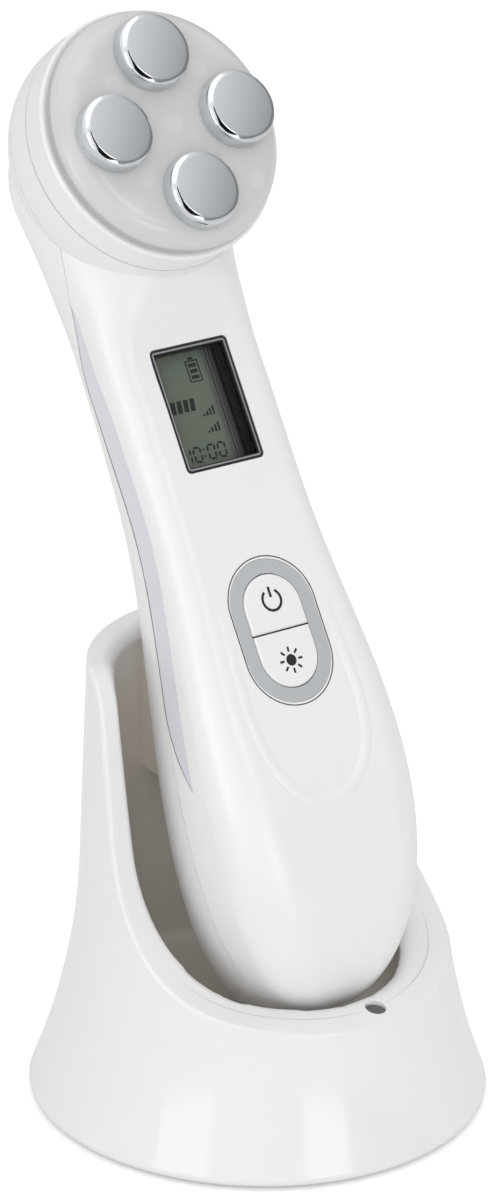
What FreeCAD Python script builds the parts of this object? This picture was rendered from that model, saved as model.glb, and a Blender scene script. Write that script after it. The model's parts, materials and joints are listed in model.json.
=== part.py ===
import FreeCAD, Part
import math
import os

import Sketcher

# Driving dimensions in millimetres and degrees, one named cell each.
SIZES = [
    # Handset pose in the stand.
    ("lean_angle", 33.4, "lean of the handset's flat front from the vertical"),
    ("rest_y", -42.4, "handset's lower reference point, front to back"),
    ("rest_z", 37.6, "handset's lower reference point, height"),
    # Handset form, with its own Z up the grip and Y from the flat front to the back.
    ("head_height", 162.2, "head centre above the grip's lower end"),
    ("neck_half_width", 17.4, "half width of the neck"),
    ("neck_start", 98.0, "height where the neck is narrowest"),
    ("grip_half_width", 22.0, "half width of the grip at its widest"),
    ("grip_height", 42.0, "height of the grip's widest place"),
    ("grip_front_start", 48.0, "height where the flat front starts to curve back"),
    ("grip_back_start", 40.0, "height where the back starts to curve in"),
    ("grip_tip_depth", 26.0, "depth of the grip's lower tip behind the flat front"),
    ("neck_depth", 19.5, "depth of the neck"),
    ("back_slope_start", 113.0, "height below which the back swells"),
    ("back_slope_blend", 14.0, "softness of the start of that swell"),
    ("widest_depth", 9.0, "depth of the widest line along the neck"),
    ("widest_forward", 3.0, "how far that line comes forward at the head"),
    ("parting_depth", 10.4, "depth of the side seam along the neck"),
    ("shoulder_height", 11.0, "grip's shoulders past the head's centre"),
    ("shoulder_forward", 6.0, "how far the widest line comes forward on the shoulders"),
    ("shoulder_back_drop", 5.0, "how far the back comes forward on the shoulders"),
    ("shoulder_front_drop", 2.0, "how far the front falls back on the shoulders"),
    ("shell_wall", 2.0, "wall of both handset shells"),
    ("seam_gap", 0.15, "visible seam between the shells"),
    ("lip_height", 2.4, "rear shell's locating lip past the seam"),
    ("lip_wall", 1.0, "wall of that lip"),
    ("lip_clearance", 0.12, "clearance of the lip inside the front shell"),
    # Side strips.
    ("strip_width", 5.0, "width of a side strip"),
    ("strip_depth", 1.0, "thickness of a side strip"),
    ("strip_low", 45.5, "lower point of a side strip"),
    ("strip_high", 138.0, "upper point of a side strip"),
    ("strip_low_taper", 17.0, "length of the lower taper"),
    ("strip_high_taper", 26.0, "length of the upper taper"),
    ("strip_clearance", 0.05, "gap round a side strip"),
    # Head, along its own axis, forwards from the shell's rim.
    ("head_tilt", 2.9, "tilt of the head further back than the front"),
    ("head_forward", 6.8, "shell rim ahead of the flat front"),
    ("head_radius", 24.7, "outer radius of the head shell"),
    ("head_depth", 20.3, "depth of the head shell behind its rim"),
    ("head_round", 17.6, "rounding of the head's back"),
    ("collar_radius", 24.5, "outer radius of the white collar"),
    ("collar_height", 6.0, "collar from the shell's rim to the lens"),
    ("collar_inner_radius", 21.8, "bore of the collar"),
    ("collar_edge", 0.5, "edge chamfer of the collar"),
    ("spigot_clearance", 0.2, "collar spigot inside the shell"),
    ("spigot_length", 3.0, "collar spigot behind the rim"),
    ("ledge_radius", 18.4, "bore of the ledge that carries the light board"),
    ("ledge_height", 1.1, "front of that ledge ahead of the rim"),
    ("lens_radius", 23.6, "outer radius of the lens"),
    ("lens_edge_height", 8.7, "front edge of the lens side"),
    ("lens_front_height", 11.3, "flat front of the lens"),
    ("lens_bevel", 3.0, "width of the lens bevel"),
    ("lens_wall", 2.0, "wall of the lens"),
    ("lens_spigot_length", 1.4, "lens spigot inside the collar"),
    ("lens_clearance", 0.15, "lens spigot clearance"),
    ("lens_gap", 0.5, "fine groove between lens and collar"),
    ("electrode_circle", 13.7, "radius of the electrodes' circle"),
    ("electrode_radius", 7.2, "outer radius of an electrode"),
    ("electrode_height", 3.9, "electrode above the lens"),
    ("electrode_edge", 1.3, "rounding of an electrode's edge"),
    ("stud_radius", 1.9, "electrode stud"),
    ("stud_clearance", 0.15, "stud in the lens and the light board"),
    ("nut_thickness", 1.6, "electrode nut"),
    ("nut_flat_radius", 3.6, "corner radius of an electrode nut"),
    ("light_board_radius", 21.0, "light board"),
    ("light_board_thickness", 1.6, "light board"),
    ("emitter_radius", 2.4, "light emitter"),
    ("emitter_height", 3.4, "light emitter"),
    ("emitter_circle", 9.6, "radius of the outer emitters' circle"),
    # Display.
    ("display_height", 113.5, "display centre above the grip's lower end"),
    ("window_half_width", 8.76, "display opening, half width"),
    ("window_half_height", 12.03, "display opening, half height"),
    ("window_corner", 1.0, "corner radius of the display opening"),
    ("window_set_back", 0.4, "window behind the front face"),
    ("window_thickness", 1.2, "clear window"),
    ("window_clearance", 0.1, "window in its opening"),
    ("frame_border", 1.1, "visible dark border round the display"),
    ("frame_flange", 1.5, "flange of the dark frame past the opening"),
    ("flange_gap", 0.15, "flanges behind the front wall"),
    ("frame_depth", 2.0, "flange thickness of the dark frame"),
    ("panel_thickness", 1.8, "liquid crystal panel"),
    # Boards and cell.
    ("board_front", 9.0, "main board's front behind the flat front"),
    ("board_thickness", 1.6, "main board"),
    ("board_half_width", 12.0, "main board, half width"),
    ("board_low", 24.0, "main board's lower end"),
    ("board_high", 130.0, "main board's upper end"),
    ("boss_radius", 2.4, "board boss"),
    ("boss_hole", 0.8, "pilot hole of a board boss"),
    ("boss_spread", 9.2, "board bosses from the middle"),
    ("boss_low", 42.0, "lower board bosses"),
    ("boss_high", 92.0, "upper board bosses"),
    ("board_screw_head", 1.9, "head radius of a board screw"),
    ("board_screw_head_height", 1.2, "head of a board screw"),
    ("board_screw_length", 6.0, "shank of a board screw"),
    ("board_screw_radius", 0.75, "shank radius of a board screw"),
    ("board_hole", 1.05, "screw hole in the main board"),
    ("cell_radius", 9.0, "lithium cell"),
    ("cell_length", 49.5, "lithium cell"),
    ("cell_low", 16.0, "lower end of the cell"),
    ("cell_edge", 0.8, "rolled edge of the cell"),
    ("cell_pad_thickness", 0.9, "foam pad under the cell"),
    ("cell_pad_half_width", 4.0, "foam pad under the cell"),
    # Buttons.
    ("button_height", 69.3, "button pair's centre above the grip's lower end"),
    ("bezel_half_width", 9.23, "opening for the silver surround, half width"),
    ("bezel_half_length", 13.8, "opening for the silver surround, half length"),
    ("bezel_clearance", 0.08, "surround in its opening"),
    ("bezel_band", 2.8, "visible width of the surround"),
    ("bezel_set_back", 0.1, "surround behind the front face"),
    ("bezel_flange", 1.2, "flange of the surround past the opening"),
    ("bezel_flange_thickness", 1.0, "flange of the surround"),
    ("button_clearance", 0.18, "button in the surround"),
    ("button_split", 0.3, "gap between the two buttons"),
    ("button_proud", 0.35, "buttons ahead of the front face"),
    ("button_edge", 0.45, "rounded front edge of a button"),
    ("button_flange", 0.7, "retaining flange of a button"),
    ("button_flange_thickness", 0.9, "retaining flange of a button"),
    ("button_play", 0.1, "flange behind the surround at rest"),
    ("button_spread", 5.2, "key switches from the pair's centre"),
    ("button_travel", 0.6, "travel of a button"),
    ("pusher_radius", 1.5, "pusher behind a button"),
    ("switch_half_width", 3.0, "key switch, half width"),
    ("switch_height", 3.5, "key switch body"),
    ("plunger_radius", 1.6, "key switch plunger"),
    ("plunger_stand_out", 0.9, "plunger ahead of the switch body at rest"),
    ("plunger_inside", 1.2, "plunger inside the switch body"),
    ("plunger_clearance", 0.15, "plunger in the switch body"),
    # Charging inlet.
    ("inlet_nose_radius", 2.6, "nose of the charging inlet"),
    ("inlet_nose_clearance", 0.1, "nose in the shells"),
    ("inlet_bore", 1.8, "bore of the charging inlet"),
    ("inlet_bore_depth", 9.0, "bore of the charging inlet"),
    ("inlet_pin", 0.65, "centre pin of the charging inlet"),
    ("inlet_half_width", 3.4, "body of the charging inlet"),
    ("inlet_length", 11.0, "body of the charging inlet"),
    # Ribbon from the main board to the light board.
    ("ribbon_half_width", 5.0, "head ribbon, half width"),
    ("ribbon_thickness", 0.5, "head ribbon"),
    # Stand.
    ("stand_turn", 6.0, "turn of the stand under the handset"),
    ("stand_height", 88.5, "top of the stand's back wall"),
    ("stand_top_radius", 33.4, "outer radius at the top"),
    ("stand_waist_radius", 34.35, "outer radius where the flare starts"),
    ("stand_waist_height", 52.0, "height where the flare starts"),
    ("stand_foot_radius", 44.3, "outer radius at the foot"),
    ("stand_foot_height", 0.6, "lower edge of the stand's shell"),
    ("stand_flare_radius", 136.0, "radius of the flare"),
    ("stand_foot_edge", 1.2, "rounding of the lower edge"),
    ("stand_wall", 2.6, "skirt wall"),
    ("cup_radius", 29.8, "inner radius of the cup at its rim"),
    ("cup_floor_radius", 29.0, "inner radius of the cup at its floor"),
    ("cup_floor", 18.1, "top of the cup's floor"),
    ("cup_corner", 4.0, "rounding between the cup's wall and floor"),
    ("cup_floor_thickness", 2.4, "cup floor"),
    ("skirt_hollow_top", 24.0, "top of the hollow behind the skirt"),
    ("scoop_front_height", 27.2, "rim height at the front"),
    ("scoop_front_angle", 13.0, "rise of the front rim"),
    ("scoop_back_angle", 77.5, "rise of the rim up the back wall"),
    ("scoop_corner_y", -1.1, "where the two slopes of the rim would meet"),
    ("scoop_round", 34.0, "curve between the two slopes"),
    ("scoop_top_round", 8.0, "rounded top corner of the back wall"),
    ("rim_edge", 0.7, "rounding of the rim's outer edge"),
    ("rim_inner_edge", 0.8, "rounding of the rim's inner edge"),
    ("rim_hole_radius", 2.0, "hole in the front rim"),
    ("rim_hole_y", -31.9, "place of the hole in the front rim"),
    ("rest_rib_spread", 7.0, "back rest ribs from the middle"),
    ("rest_rib_half_width", 1.2, "back rest rib, half width"),
    ("rest_rib_low", 58.0, "lower end of the back rest ribs"),
    ("rest_rib_high", 85.5, "upper end of the back rest ribs"),
    ("rest_gap", 0.35, "handset from the ribs and the cup's floor"),
    ("base_clearance", 0.25, "base plate in the skirt"),
    ("base_thickness", 3.0, "base plate"),
    ("pad_radius", 39.0, "non-slip pad"),
    ("post_radius", 3.4, "screw post under the cup"),
    ("post_circle", 24.0, "circle of the screw posts"),
    ("post_hole", 1.1, "pilot hole of a screw post"),
    ("base_screw_head", 2.7, "head radius of a base screw"),
    ("base_screw_head_height", 1.6, "head of a base screw"),
    ("base_screw_radius", 1.05, "shank radius of a base screw"),
    ("base_screw_length", 9.0, "shank of a base screw"),
    ("screw_clearance", 0.25, "screw holes and head recesses"),
    ("overrun", 1.0, "how far a cut runs past a face"),
]

# Heights of the grip's sections as shares of the head's height.
STATION_SHARES = (0.004, 0.012, 0.026, 0.05, 0.088, 0.138, 0.2, 0.275, 0.36, 0.455,
                  0.56, 0.66, 0.72, 0.765, 0.815, 0.865, 0.93, 1.0)
# Sections past the head's centre, which close the grip's shoulders into the head, as shares of their height.
SHOULDER_SHARES = (0.5, 1.0)
# Curve exponents of the grip's rounded end, across, at the front and at the back.
END_WIDTH_POWER = 2.35
END_FRONT_POWER = 2.0
END_BACK_POWER = 2.6
# Curve exponent of the side lines that run down to the tip.
LOW_DEPTH_POWER = 1.5
# Swell of the back for each millimetre down the grip.
BACK_SLOPE_SHARE = 0.29
# Front corner radius as a share of the half width, at the neck, and added at the tip.
CORNER_NECK_SHARE = 0.29
CORNER_TIP_SHARE = 0.26
CORNER_LIMIT_SHARE = 0.9
CORNER_REACH_SHARE = 1.25
# The front corners open out into a full round under the head.
CORNER_HEAD_SHARE = 0.95
# Where the front and sides start to swell towards the head, and where they reach it.
HEAD_SWELL_SHARE = 0.775
HEAD_FRONT_SHARE = 0.875
HEAD_SIDE_SWELL_SHARE = 0.8
HEAD_BACK_SWELL_SHARE = 0.826
# Seam depth: where it starts to move forward towards the head, and where it arrives.
SEAM_SWELL_SHARE = 0.752
SEAM_HEAD_SHARE = 0.962
# Size of the grip's last section, inside the head, as shares of the head; the next width is used where two
# faces only just touch and can't be joined.
HEAD_WIDTH_SHARES = (0.91, 0.92, 0.9, 0.93, 0.89)
HEAD_FRONT_LIMIT_SHARE = 0.96
HEAD_BACK_SHARE = 0.95
POST_COUNT = 3
# How much the base plate narrows for each millimetre of height, to follow the flared skirt.
BASE_TAPER_SHARE = 0.45
ELECTRODE_ANGLES = (("top", 90), ("left", 180), ("bottom", 270), ("right", 0))
EMITTER_COUNT = 4


class Dim:
    """A length that knows its number and the sheet expression it comes from."""

    def __init__(self, value, text):
        self.value = value
        self.text = text

    def joined(self, other, sign, value):
        return Dim(value, "(%s %s %s)" % (self.text, sign, as_dim(other).text))

    def __add__(self, other):
        return self.joined(other, "+", self.value + as_dim(other).value)

    def __sub__(self, other):
        return self.joined(other, "-", self.value - as_dim(other).value)

    def __mul__(self, other):
        return self.joined(other, "*", self.value * as_dim(other).value)

    def __truediv__(self, other):
        return self.joined(other, "/", self.value / as_dim(other).value)

    def __neg__(self):
        return Dim(-self.value, "(0 - %s)" % self.text)


def as_dim(item):
    return item if isinstance(item, Dim) else Dim(float(item), repr(item))


class Sizes:
    """The sheet's cells by name, as lengths."""

    def __init__(self, sheet):
        self.sheet = sheet

    def __getattr__(self, name):
        return Dim(float(self.sheet.get(name)), "sizes." + name)


doc = FreeCAD.newDocument("led_facial_device")
sheet = doc.addObject("Spreadsheet::Sheet", "sizes")
for row, (alias, number, meaning) in enumerate(SIZES, start=1):
    sheet.set("A%d" % row, meaning)
    sheet.set("B%d" % row, str(number))
    sheet.setAlias("B%d" % row, alias)
doc.recompute()
d = Sizes(sheet)
ZERO = as_dim(0)

# Frames: the stand stands on the row's own axes, the handset leans, the head tilts on the handset.
X_AXIS = FreeCAD.Vector(1, 0, 0)
HANDSET = FreeCAD.Placement(
    FreeCAD.Vector(0, d.rest_y.value, d.rest_z.value),
    FreeCAD.Rotation(X_AXIS, -d.lean_angle.value),
)
HEAD = HANDSET.multiply(FreeCAD.Placement(
    FreeCAD.Vector(0, -d.head_forward.value, d.head_height.value),
    FreeCAD.Rotation(X_AXIS, 90 - d.head_tilt.value),
))
STAND = FreeCAD.Placement(FreeCAD.Vector(0, 0, 0), FreeCAD.Rotation(FreeCAD.Vector(0, 0, 1), d.stand_turn.value))

nodes = {}


def keep(label, item, placement):
    """Name a finished sub-part and put it in place."""
    item.Label = label
    item.Placement = placement
    nodes[label] = item
    return item


# Sketches and features


def new_body(name):
    return doc.addObject("PartDesign::Body", name + "_body")


def plane(body, role):
    return next(o for o in body.Origin.OriginFeatures if o.Role == role)


def new_sketch(body, name, role, offset=ZERO):
    sketch = body.newObject("Sketcher::SketchObject", name)
    sketch.AttachmentSupport = [(plane(body, role), "")]
    sketch.MapMode = "FlatFace"
    sketch.AttachmentOffset = FreeCAD.Placement(
        FreeCAD.Vector(0, 0, offset.value), FreeCAD.Rotation())
    if offset.value != 0:
        sketch.setExpression("AttachmentOffset.Base.z", offset.text)
    return sketch


def pin_point(sketch, geometry, place, x, y):
    """Tie one end of a line or arc to its named place."""
    for axis, kind, length in ((-2, "DistanceX", x), (-1, "DistanceY", y)):
        if length.value == 0:
            sketch.addConstraint(Sketcher.Constraint("PointOnObject", geometry, place, axis))
            continue
        index = sketch.addConstraint(Sketcher.Constraint(kind, -1, 1, geometry, place, length.value))
        sketch.setExpression("Constraints[%d]" % index, length.text)


def polygon(sketch, points):
    """Closed outline of straight sides through named points."""
    corners = [(as_dim(x), as_dim(y)) for x, y in points]
    first = None
    count = len(corners)
    vectors = [FreeCAD.Vector(x.value, y.value, 0) for x, y in corners]
    for i in range(count):
        line = sketch.addGeometry(Part.LineSegment(vectors[i], vectors[(i + 1) % count]), False)
        first = line if first is None else first
        pin_point(sketch, line, 1, *corners[i])
        if i:
            sketch.addConstraint(Sketcher.Constraint("Coincident", line - 1, 2, line, 1))
    sketch.addConstraint(Sketcher.Constraint("Coincident", first + count - 1, 2, first, 1))


def rectangle(sketch, half_width, half_height, y=ZERO):
    polygon(sketch, [(-half_width, y - half_height), (half_width, y - half_height),
                     (half_width, y + half_height), (-half_width, y + half_height)])


def circle(sketch, radius, x=ZERO, y=ZERO):
    centre = FreeCAD.Vector(x.value, y.value, 0)
    ring = sketch.addGeometry(Part.Circle(centre, FreeCAD.Vector(0, 0, 1), radius.value), False)
    pin_point(sketch, ring, 3, x, y)
    index = sketch.addConstraint(Sketcher.Constraint("Radius", ring, radius.value))
    sketch.setExpression("Constraints[%d]" % index, radius.text)


def end_arc(sketch, centre_y, radius, upper):
    """Half circle that closes a long rounded outline at its upper or lower end."""
    start, stop = (0, math.pi) if upper else (math.pi, 2 * math.pi)
    shape = Part.Circle(FreeCAD.Vector(0, centre_y.value, 0), FreeCAD.Vector(0, 0, 1), radius.value)
    arc = sketch.addGeometry(Part.ArcOfCircle(shape, start, stop), False)
    index = sketch.addConstraint(Sketcher.Constraint("DistanceY", -1, 1, arc, 3, centre_y.value))
    sketch.setExpression("Constraints[%d]" % index, centre_y.text)
    return arc


def side_line(sketch, x0, y0, x1, y1):
    line = sketch.addGeometry(Part.LineSegment(
        FreeCAD.Vector(x0.value, y0.value, 0), FreeCAD.Vector(x1.value, y1.value, 0)), False)
    pin_point(sketch, line, 1, x0, y0)
    pin_point(sketch, line, 2, x1, y1)
    return line


def stadium(sketch, half_width, half_length, y):
    """Long outline with round ends, centred at a height."""
    reach = half_length - half_width
    right = side_line(sketch, half_width, y - reach, half_width, y + reach)
    left = side_line(sketch, -half_width, y + reach, -half_width, y - reach)
    top = end_arc(sketch, y + reach, half_width, True)
    bottom = end_arc(sketch, y - reach, half_width, False)
    for a, a_end, b, b_end in ((right, 2, top, 1), (top, 2, left, 1), (left, 2, bottom, 1), (bottom, 2, right, 1)):
        sketch.addConstraint(Sketcher.Constraint("Coincident", a, a_end, b, b_end))


def half_stadium(sketch, half_width, half_length, split, y, upper):
    """One half of that outline, cut straight across beside the split."""
    reach = half_length - half_width
    way = 1 if upper else -1
    near = y + split * way
    far = y + reach * way
    base = side_line(sketch, -half_width, near, half_width, near)
    right = side_line(sketch, half_width, near, half_width, far)
    left = side_line(sketch, -half_width, near, -half_width, far)
    arc = end_arc(sketch, far, half_width, upper)
    right_end, left_end = (1, 2) if upper else (2, 1)
    sketch.addConstraint(Sketcher.Constraint("Coincident", right, 2, arc, right_end))
    sketch.addConstraint(Sketcher.Constraint("Coincident", left, 2, arc, left_end))
    return base


def pad(body, sketch, length, name):
    feature = body.newObject("PartDesign::Pad", name)
    feature.Profile = sketch
    feature.Length = length.value
    feature.setExpression("Length", length.text)
    doc.recompute()
    return feature


def pocket(body, sketch, name, length=None, both_ways=False):
    """Cut a sketch through the body, or to a length, and make sure that it cut something."""
    before = body.Shape.Volume
    feature = body.newObject("PartDesign::Pocket", name)
    feature.Profile = sketch
    if length is None:
        feature.Type = "ThroughAll"
        feature.Midplane = both_ways
    else:
        feature.Length = length.value
        feature.setExpression("Length", length.text)
    doc.recompute()
    if abs(body.Shape.Volume - before) <= 1e-9 * before:
        feature.Reversed = True
        doc.recompute()
    if body.Shape.Volume >= before:
        raise RuntimeError(name + " cut nothing")
    return feature


def turned(body, sketch, name, cut=False):
    """Turn a half outline about the body's own Z axis, as a solid or as a cut."""
    before = body.Shape.Volume if cut else 0
    feature = body.newObject("PartDesign::Groove" if cut else "PartDesign::Revolution", name)
    feature.Profile = sketch
    feature.ReferenceAxis = (sketch, ["V_Axis"])
    feature.Angle = 360
    doc.recompute()
    if cut and body.Shape.Volume >= before:
        raise RuntimeError(name + " cut nothing")
    return feature


def polar(body, feature, count, name):
    pattern = body.newObject("PartDesign::PolarPattern", name)
    pattern.Originals = [feature]
    pattern.Axis = (plane(body, "Z_Axis"), [""])
    pattern.Angle = 360
    pattern.Occurrences = count
    body.Tip = pattern
    doc.recompute()
    return pattern


def rounded(body, radius, name, wanted):
    """Round the edges of the body that a test picks."""
    base = body.Tip
    names = ["Edge%d" % i for i, edge in enumerate(base.Shape.Edges, start=1) if wanted(edge)]
    if not names:
        raise RuntimeError(name + " found no edge")
    feature = body.newObject("PartDesign::Fillet", name)
    feature.Base = (base, names)
    feature.Radius = radius.value
    feature.setExpression("Radius", radius.text)
    doc.recompute()
    return feature


def spun(label, placement, points, *cuts):
    """Body turned from one half outline in its XZ plane, with further half outlines cut out."""
    body = new_body(label)
    sketch = new_sketch(body, label + "_outline", "XZ_Plane")
    polygon(sketch, points)
    turned(body, sketch, label + "_turn")
    for i, cut_points in enumerate(cuts):
        cut_sketch = new_sketch(body, "%s_cut_outline_%d" % (label, i), "XZ_Plane")
        polygon(cut_sketch, cut_points)
        turned(body, cut_sketch, "%s_cut_%d" % (label, i), cut=True)
    return keep(label, body, placement)


# Primitives


def box(name, x, y, z):
    """Block between named low and high places on each axis."""
    item = doc.addObject("Part::Box", name)
    for prop, length in (("Length", x[1] - x[0]), ("Width", y[1] - y[0]), ("Height", z[1] - z[0])):
        setattr(item, prop, length.value)
        item.setExpression(prop, length.text)
    for axis, place in (("x", x[0]), ("y", y[0]), ("z", z[0])):
        item.setExpression("Placement.Base." + axis, place.text)
    return item


def rod(name, radius, length, x, y, z, way=(0, 0, 1)):
    """Round bar from a named place along one axis."""
    item = doc.addObject("Part::Cylinder", name)
    item.Radius = radius.value
    item.setExpression("Radius", radius.text)
    item.Height = length.value
    item.setExpression("Height", length.text)
    item.Placement = FreeCAD.Placement(
        FreeCAD.Vector(0, 0, 0), FreeCAD.Rotation(FreeCAD.Vector(0, 0, 1), FreeCAD.Vector(*way)))
    for axis, place in (("x", x), ("y", y), ("z", z)):
        item.setExpression("Placement.Base." + axis, place.text)
    return item


def fused(name, *items):
    item = doc.addObject("Part::MultiFuse", name)
    item.Shapes = list(items)
    return item


def cut(name, base, tool):
    item = doc.addObject("Part::Cut", name)
    item.Base = base
    item.Tool = tool
    return item


def group(name, items):
    item = doc.addObject("Part::Compound", name)
    item.Links = list(items)
    return item


FORWARD = (0, -1, 0)
BACKWARD = (0, 1, 0)


# Handset form: sections of the grip, worked out from the sheet


def ease(t):
    t = min(max(t, 0.0), 1.0)
    return t * t * (3 - 2 * t)


def end_share(height, start, inset, power):
    """How far the grip's rounded end has opened at a height, from none at the tip to all."""
    if height >= start:
        return 1.0
    u = min((start - height) / (start - inset), 1.0)
    return max(1 - u ** power, 0.0) ** (1 / power)


class Grip:
    """Outer form of the grip, or the same form drawn in by a wall."""

    def __init__(self, inset, head_share=HEAD_WIDTH_SHARES[0]):
        self.inset = inset
        self.head_share = head_share
        self.head_z = d.head_height.value

    def past_head(self, z):
        """How far up the shoulders a height lies, from none at the head's centre."""
        return max(z - self.head_z, 0.0) / d.shoulder_height.value

    def half_width(self, z):
        grip = d.grip_half_width.value
        neck = d.neck_half_width.value
        low = d.grip_height.value
        wide = grip + (neck - grip) * ease((z - low) / (d.neck_start.value - low))
        swell = ease((z / self.head_z - HEAD_SIDE_SWELL_SHARE) / (1 - HEAD_SIDE_SWELL_SHARE))
        wide += (self.head_share * d.head_radius.value - neck) * swell
        rise = max(z - self.head_z, 0.0) / (self.head_share * d.head_radius.value)
        closed = math.sqrt(1 - rise * rise)
        return (wide - self.inset) * end_share(z, low, self.inset, END_WIDTH_POWER) * closed

    def under_head(self, z):
        """How far the front has swelled towards the head at a height."""
        return ease((z / self.head_z - HEAD_SWELL_SHARE) / (HEAD_FRONT_SHARE - HEAD_SWELL_SHARE))

    def front(self, z):
        flat = self.inset - HEAD_FRONT_LIMIT_SHARE * d.head_forward.value * self.under_head(z)
        flat += d.shoulder_front_drop.value * self.past_head(z)
        tip = d.grip_tip_depth.value
        return tip - (tip - flat) * end_share(z, d.grip_front_start.value, self.inset, END_FRONT_POWER)

    def back(self, z):
        drop = d.back_slope_start.value - z
        soft = (drop + math.hypot(drop, d.back_slope_blend.value)) / 2
        depth = d.neck_depth.value + BACK_SLOPE_SHARE * soft
        head_back = HEAD_BACK_SHARE * (d.head_depth.value - d.head_forward.value)
        late = (z / self.head_z - HEAD_BACK_SWELL_SHARE) / (1 - HEAD_BACK_SWELL_SHARE)
        depth += (head_back - d.neck_depth.value) * ease(late)
        depth -= d.shoulder_back_drop.value * self.past_head(z)
        tip = d.grip_tip_depth.value
        return tip + (depth - self.inset - tip) * end_share(z, d.grip_back_start.value, self.inset, END_BACK_POWER)

    def low_depth(self, z, neck):
        """Depth of a side line that runs from the neck down to the tip."""
        low = max(1 - z / d.neck_start.value, 0.0)
        return neck + (d.grip_tip_depth.value - neck) * low ** LOW_DEPTH_POWER

    def widest(self, z):
        forward = ease((z / self.head_z - HEAD_SWELL_SHARE) / (1 - HEAD_SWELL_SHARE))
        depth = self.low_depth(z, d.widest_depth.value) - d.widest_forward.value * forward
        return depth - d.shoulder_forward.value * self.past_head(z)

    def seam(self, z):
        neck = d.parting_depth.value
        forward = ease((z / self.head_z - SEAM_SWELL_SHARE) / (SEAM_HEAD_SHARE - SEAM_SWELL_SHARE))
        return self.low_depth(z, neck) - neck * forward

    def corner(self, z):
        """Width and depth of a rounded front corner."""
        tip = max(1 - z / (d.grip_front_start.value * CORNER_REACH_SHARE), 0.0)
        share = CORNER_NECK_SHARE + CORNER_TIP_SHARE * tip
        room = CORNER_LIMIT_SHARE * (self.widest(z) - self.front(z))
        wide = self.half_width(z)
        plain = min(share * (wide + self.inset) - self.inset, room)
        opened = self.under_head(z)
        return plain + (CORNER_HEAD_SHARE * wide - plain) * opened, plain + (room - plain) * opened

    def section(self, z):
        """Closed outline at a height: flat front, rounded front corners, elliptical back."""
        w = self.half_width(z)
        f = self.front(z)
        b = self.back(z)
        m = self.widest(z)
        across, deep = self.corner(z)
        corners = [(across - w, f), (w - across, f), (w, f + deep), (w, m), (0, b), (-w, m), (-w, f + deep)]
        middles = [None, (w, f), None, (w, b), (-w, b), None, (-w, f)]
        edges = []
        for i, middle in enumerate(middles):
            start = FreeCAD.Vector(*corners[i], z)
            stop = FreeCAD.Vector(*corners[(i + 1) % len(corners)], z)
            edges.append(line_or_quarter(start, stop, middle and FreeCAD.Vector(*middle, z)))
        return Part.Wire(edges)

    def solid(self):
        low = self.inset + STATION_SHARES[0] * self.head_z
        heights = [low + (share - STATION_SHARES[0]) / (1 - STATION_SHARES[0]) * (self.head_z - low)
                   for share in STATION_SHARES]
        shoulder = d.shoulder_height.value - self.inset
        heights += [self.head_z + share * shoulder for share in SHOULDER_SHARES]
        return Part.makeLoft([self.section(z) for z in heights], True, False)


def line_or_quarter(start, stop, middle):
    """Straight edge, or an exact quarter of an ellipse towards a corner point."""
    if middle is None:
        return Part.LineSegment(start, stop).toShape()
    curve = Part.BezierCurve()
    curve.setPoles([start, middle, stop])
    curve.setWeight(2, math.sqrt(0.5))
    return curve.toShape()


def head_bowl(inset, rim):
    """Round shell of the head, drawn in by a wall and reaching a height past its rim."""
    radius = d.head_radius.value - inset
    depth = d.head_depth.value - inset
    turn = max(d.head_round.value - inset, inset)
    centre = FreeCAD.Vector(radius - turn, 0, turn - depth)
    corner = centre + FreeCAD.Vector(turn * math.sqrt(0.5), 0, -turn * math.sqrt(0.5))
    points = [FreeCAD.Vector(0, 0, rim), FreeCAD.Vector(radius, 0, rim), FreeCAD.Vector(radius, 0, turn - depth),
              FreeCAD.Vector(radius - turn, 0, -depth), FreeCAD.Vector(0, 0, -depth)]
    edges = [Part.LineSegment(points[0], points[1]).toShape(), Part.LineSegment(points[1], points[2]).toShape(),
             Part.Arc(points[2], corner, points[3]).toShape(), Part.LineSegment(points[3], points[4]).toShape(),
             Part.LineSegment(points[4], points[0]).toShape()]
    solid = Part.Face(Part.Wire(edges)).revolve(FreeCAD.Vector(0, 0, 0), FreeCAD.Vector(0, 0, 1), 360)
    solid.Placement = HANDSET.inverse().multiply(HEAD)
    return solid


def form(inset, rim=0):
    """Whole outer form of the handset, grip and head, drawn in by a wall."""
    bowl = head_bowl(inset, rim)
    for share in HEAD_WIDTH_SHARES:
        grip = Grip(inset, share).solid()
        whole = grip.fuse(bowl).removeSplitter()
        if whole.isValid() and len(whole.Solids) == 1 and grip.Volume < whole.Volume < grip.Volume + bowl.Volume:
            return whole
    raise RuntimeError("the grip and the head don't join")


def slab(points, curve_points, half_width):
    """Prism across the handset between a seam curve and straight sides, in its side view."""
    curve = Part.BSplineCurve()
    curve.interpolate([FreeCAD.Vector(-half_width, y, z) for y, z in curve_points])
    ends = [FreeCAD.Vector(-half_width, y, z) for y, z in points]
    chain = [curve.EndPoint] + ends + [curve.StartPoint]
    edges = [curve.toShape()]
    steps = [(a, b) for a, b in zip(chain, chain[1:]) if not a.isEqual(b, 1e-7)]
    edges += [Part.LineSegment(a, b).toShape() for a, b in steps]
    return Part.Face(Part.Wire(edges)).extrude(FreeCAD.Vector(2 * half_width, 0, 0))


outer_grip = Grip(0)
REACH = 2 * d.head_radius.value
SEAM_LOW = -d.overrun.value
SEAM_HIGH = d.head_height.value + d.head_radius.value + d.overrun.value
SEAM_STEPS = 24


def seam_curve(shift):
    heights = [SEAM_LOW + (SEAM_HIGH - SEAM_LOW) * i / SEAM_STEPS for i in range(SEAM_STEPS + 1)]
    return [(outer_grip.seam(min(max(z, 0), SEAM_HIGH)) + shift, z) for z in heights]


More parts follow.
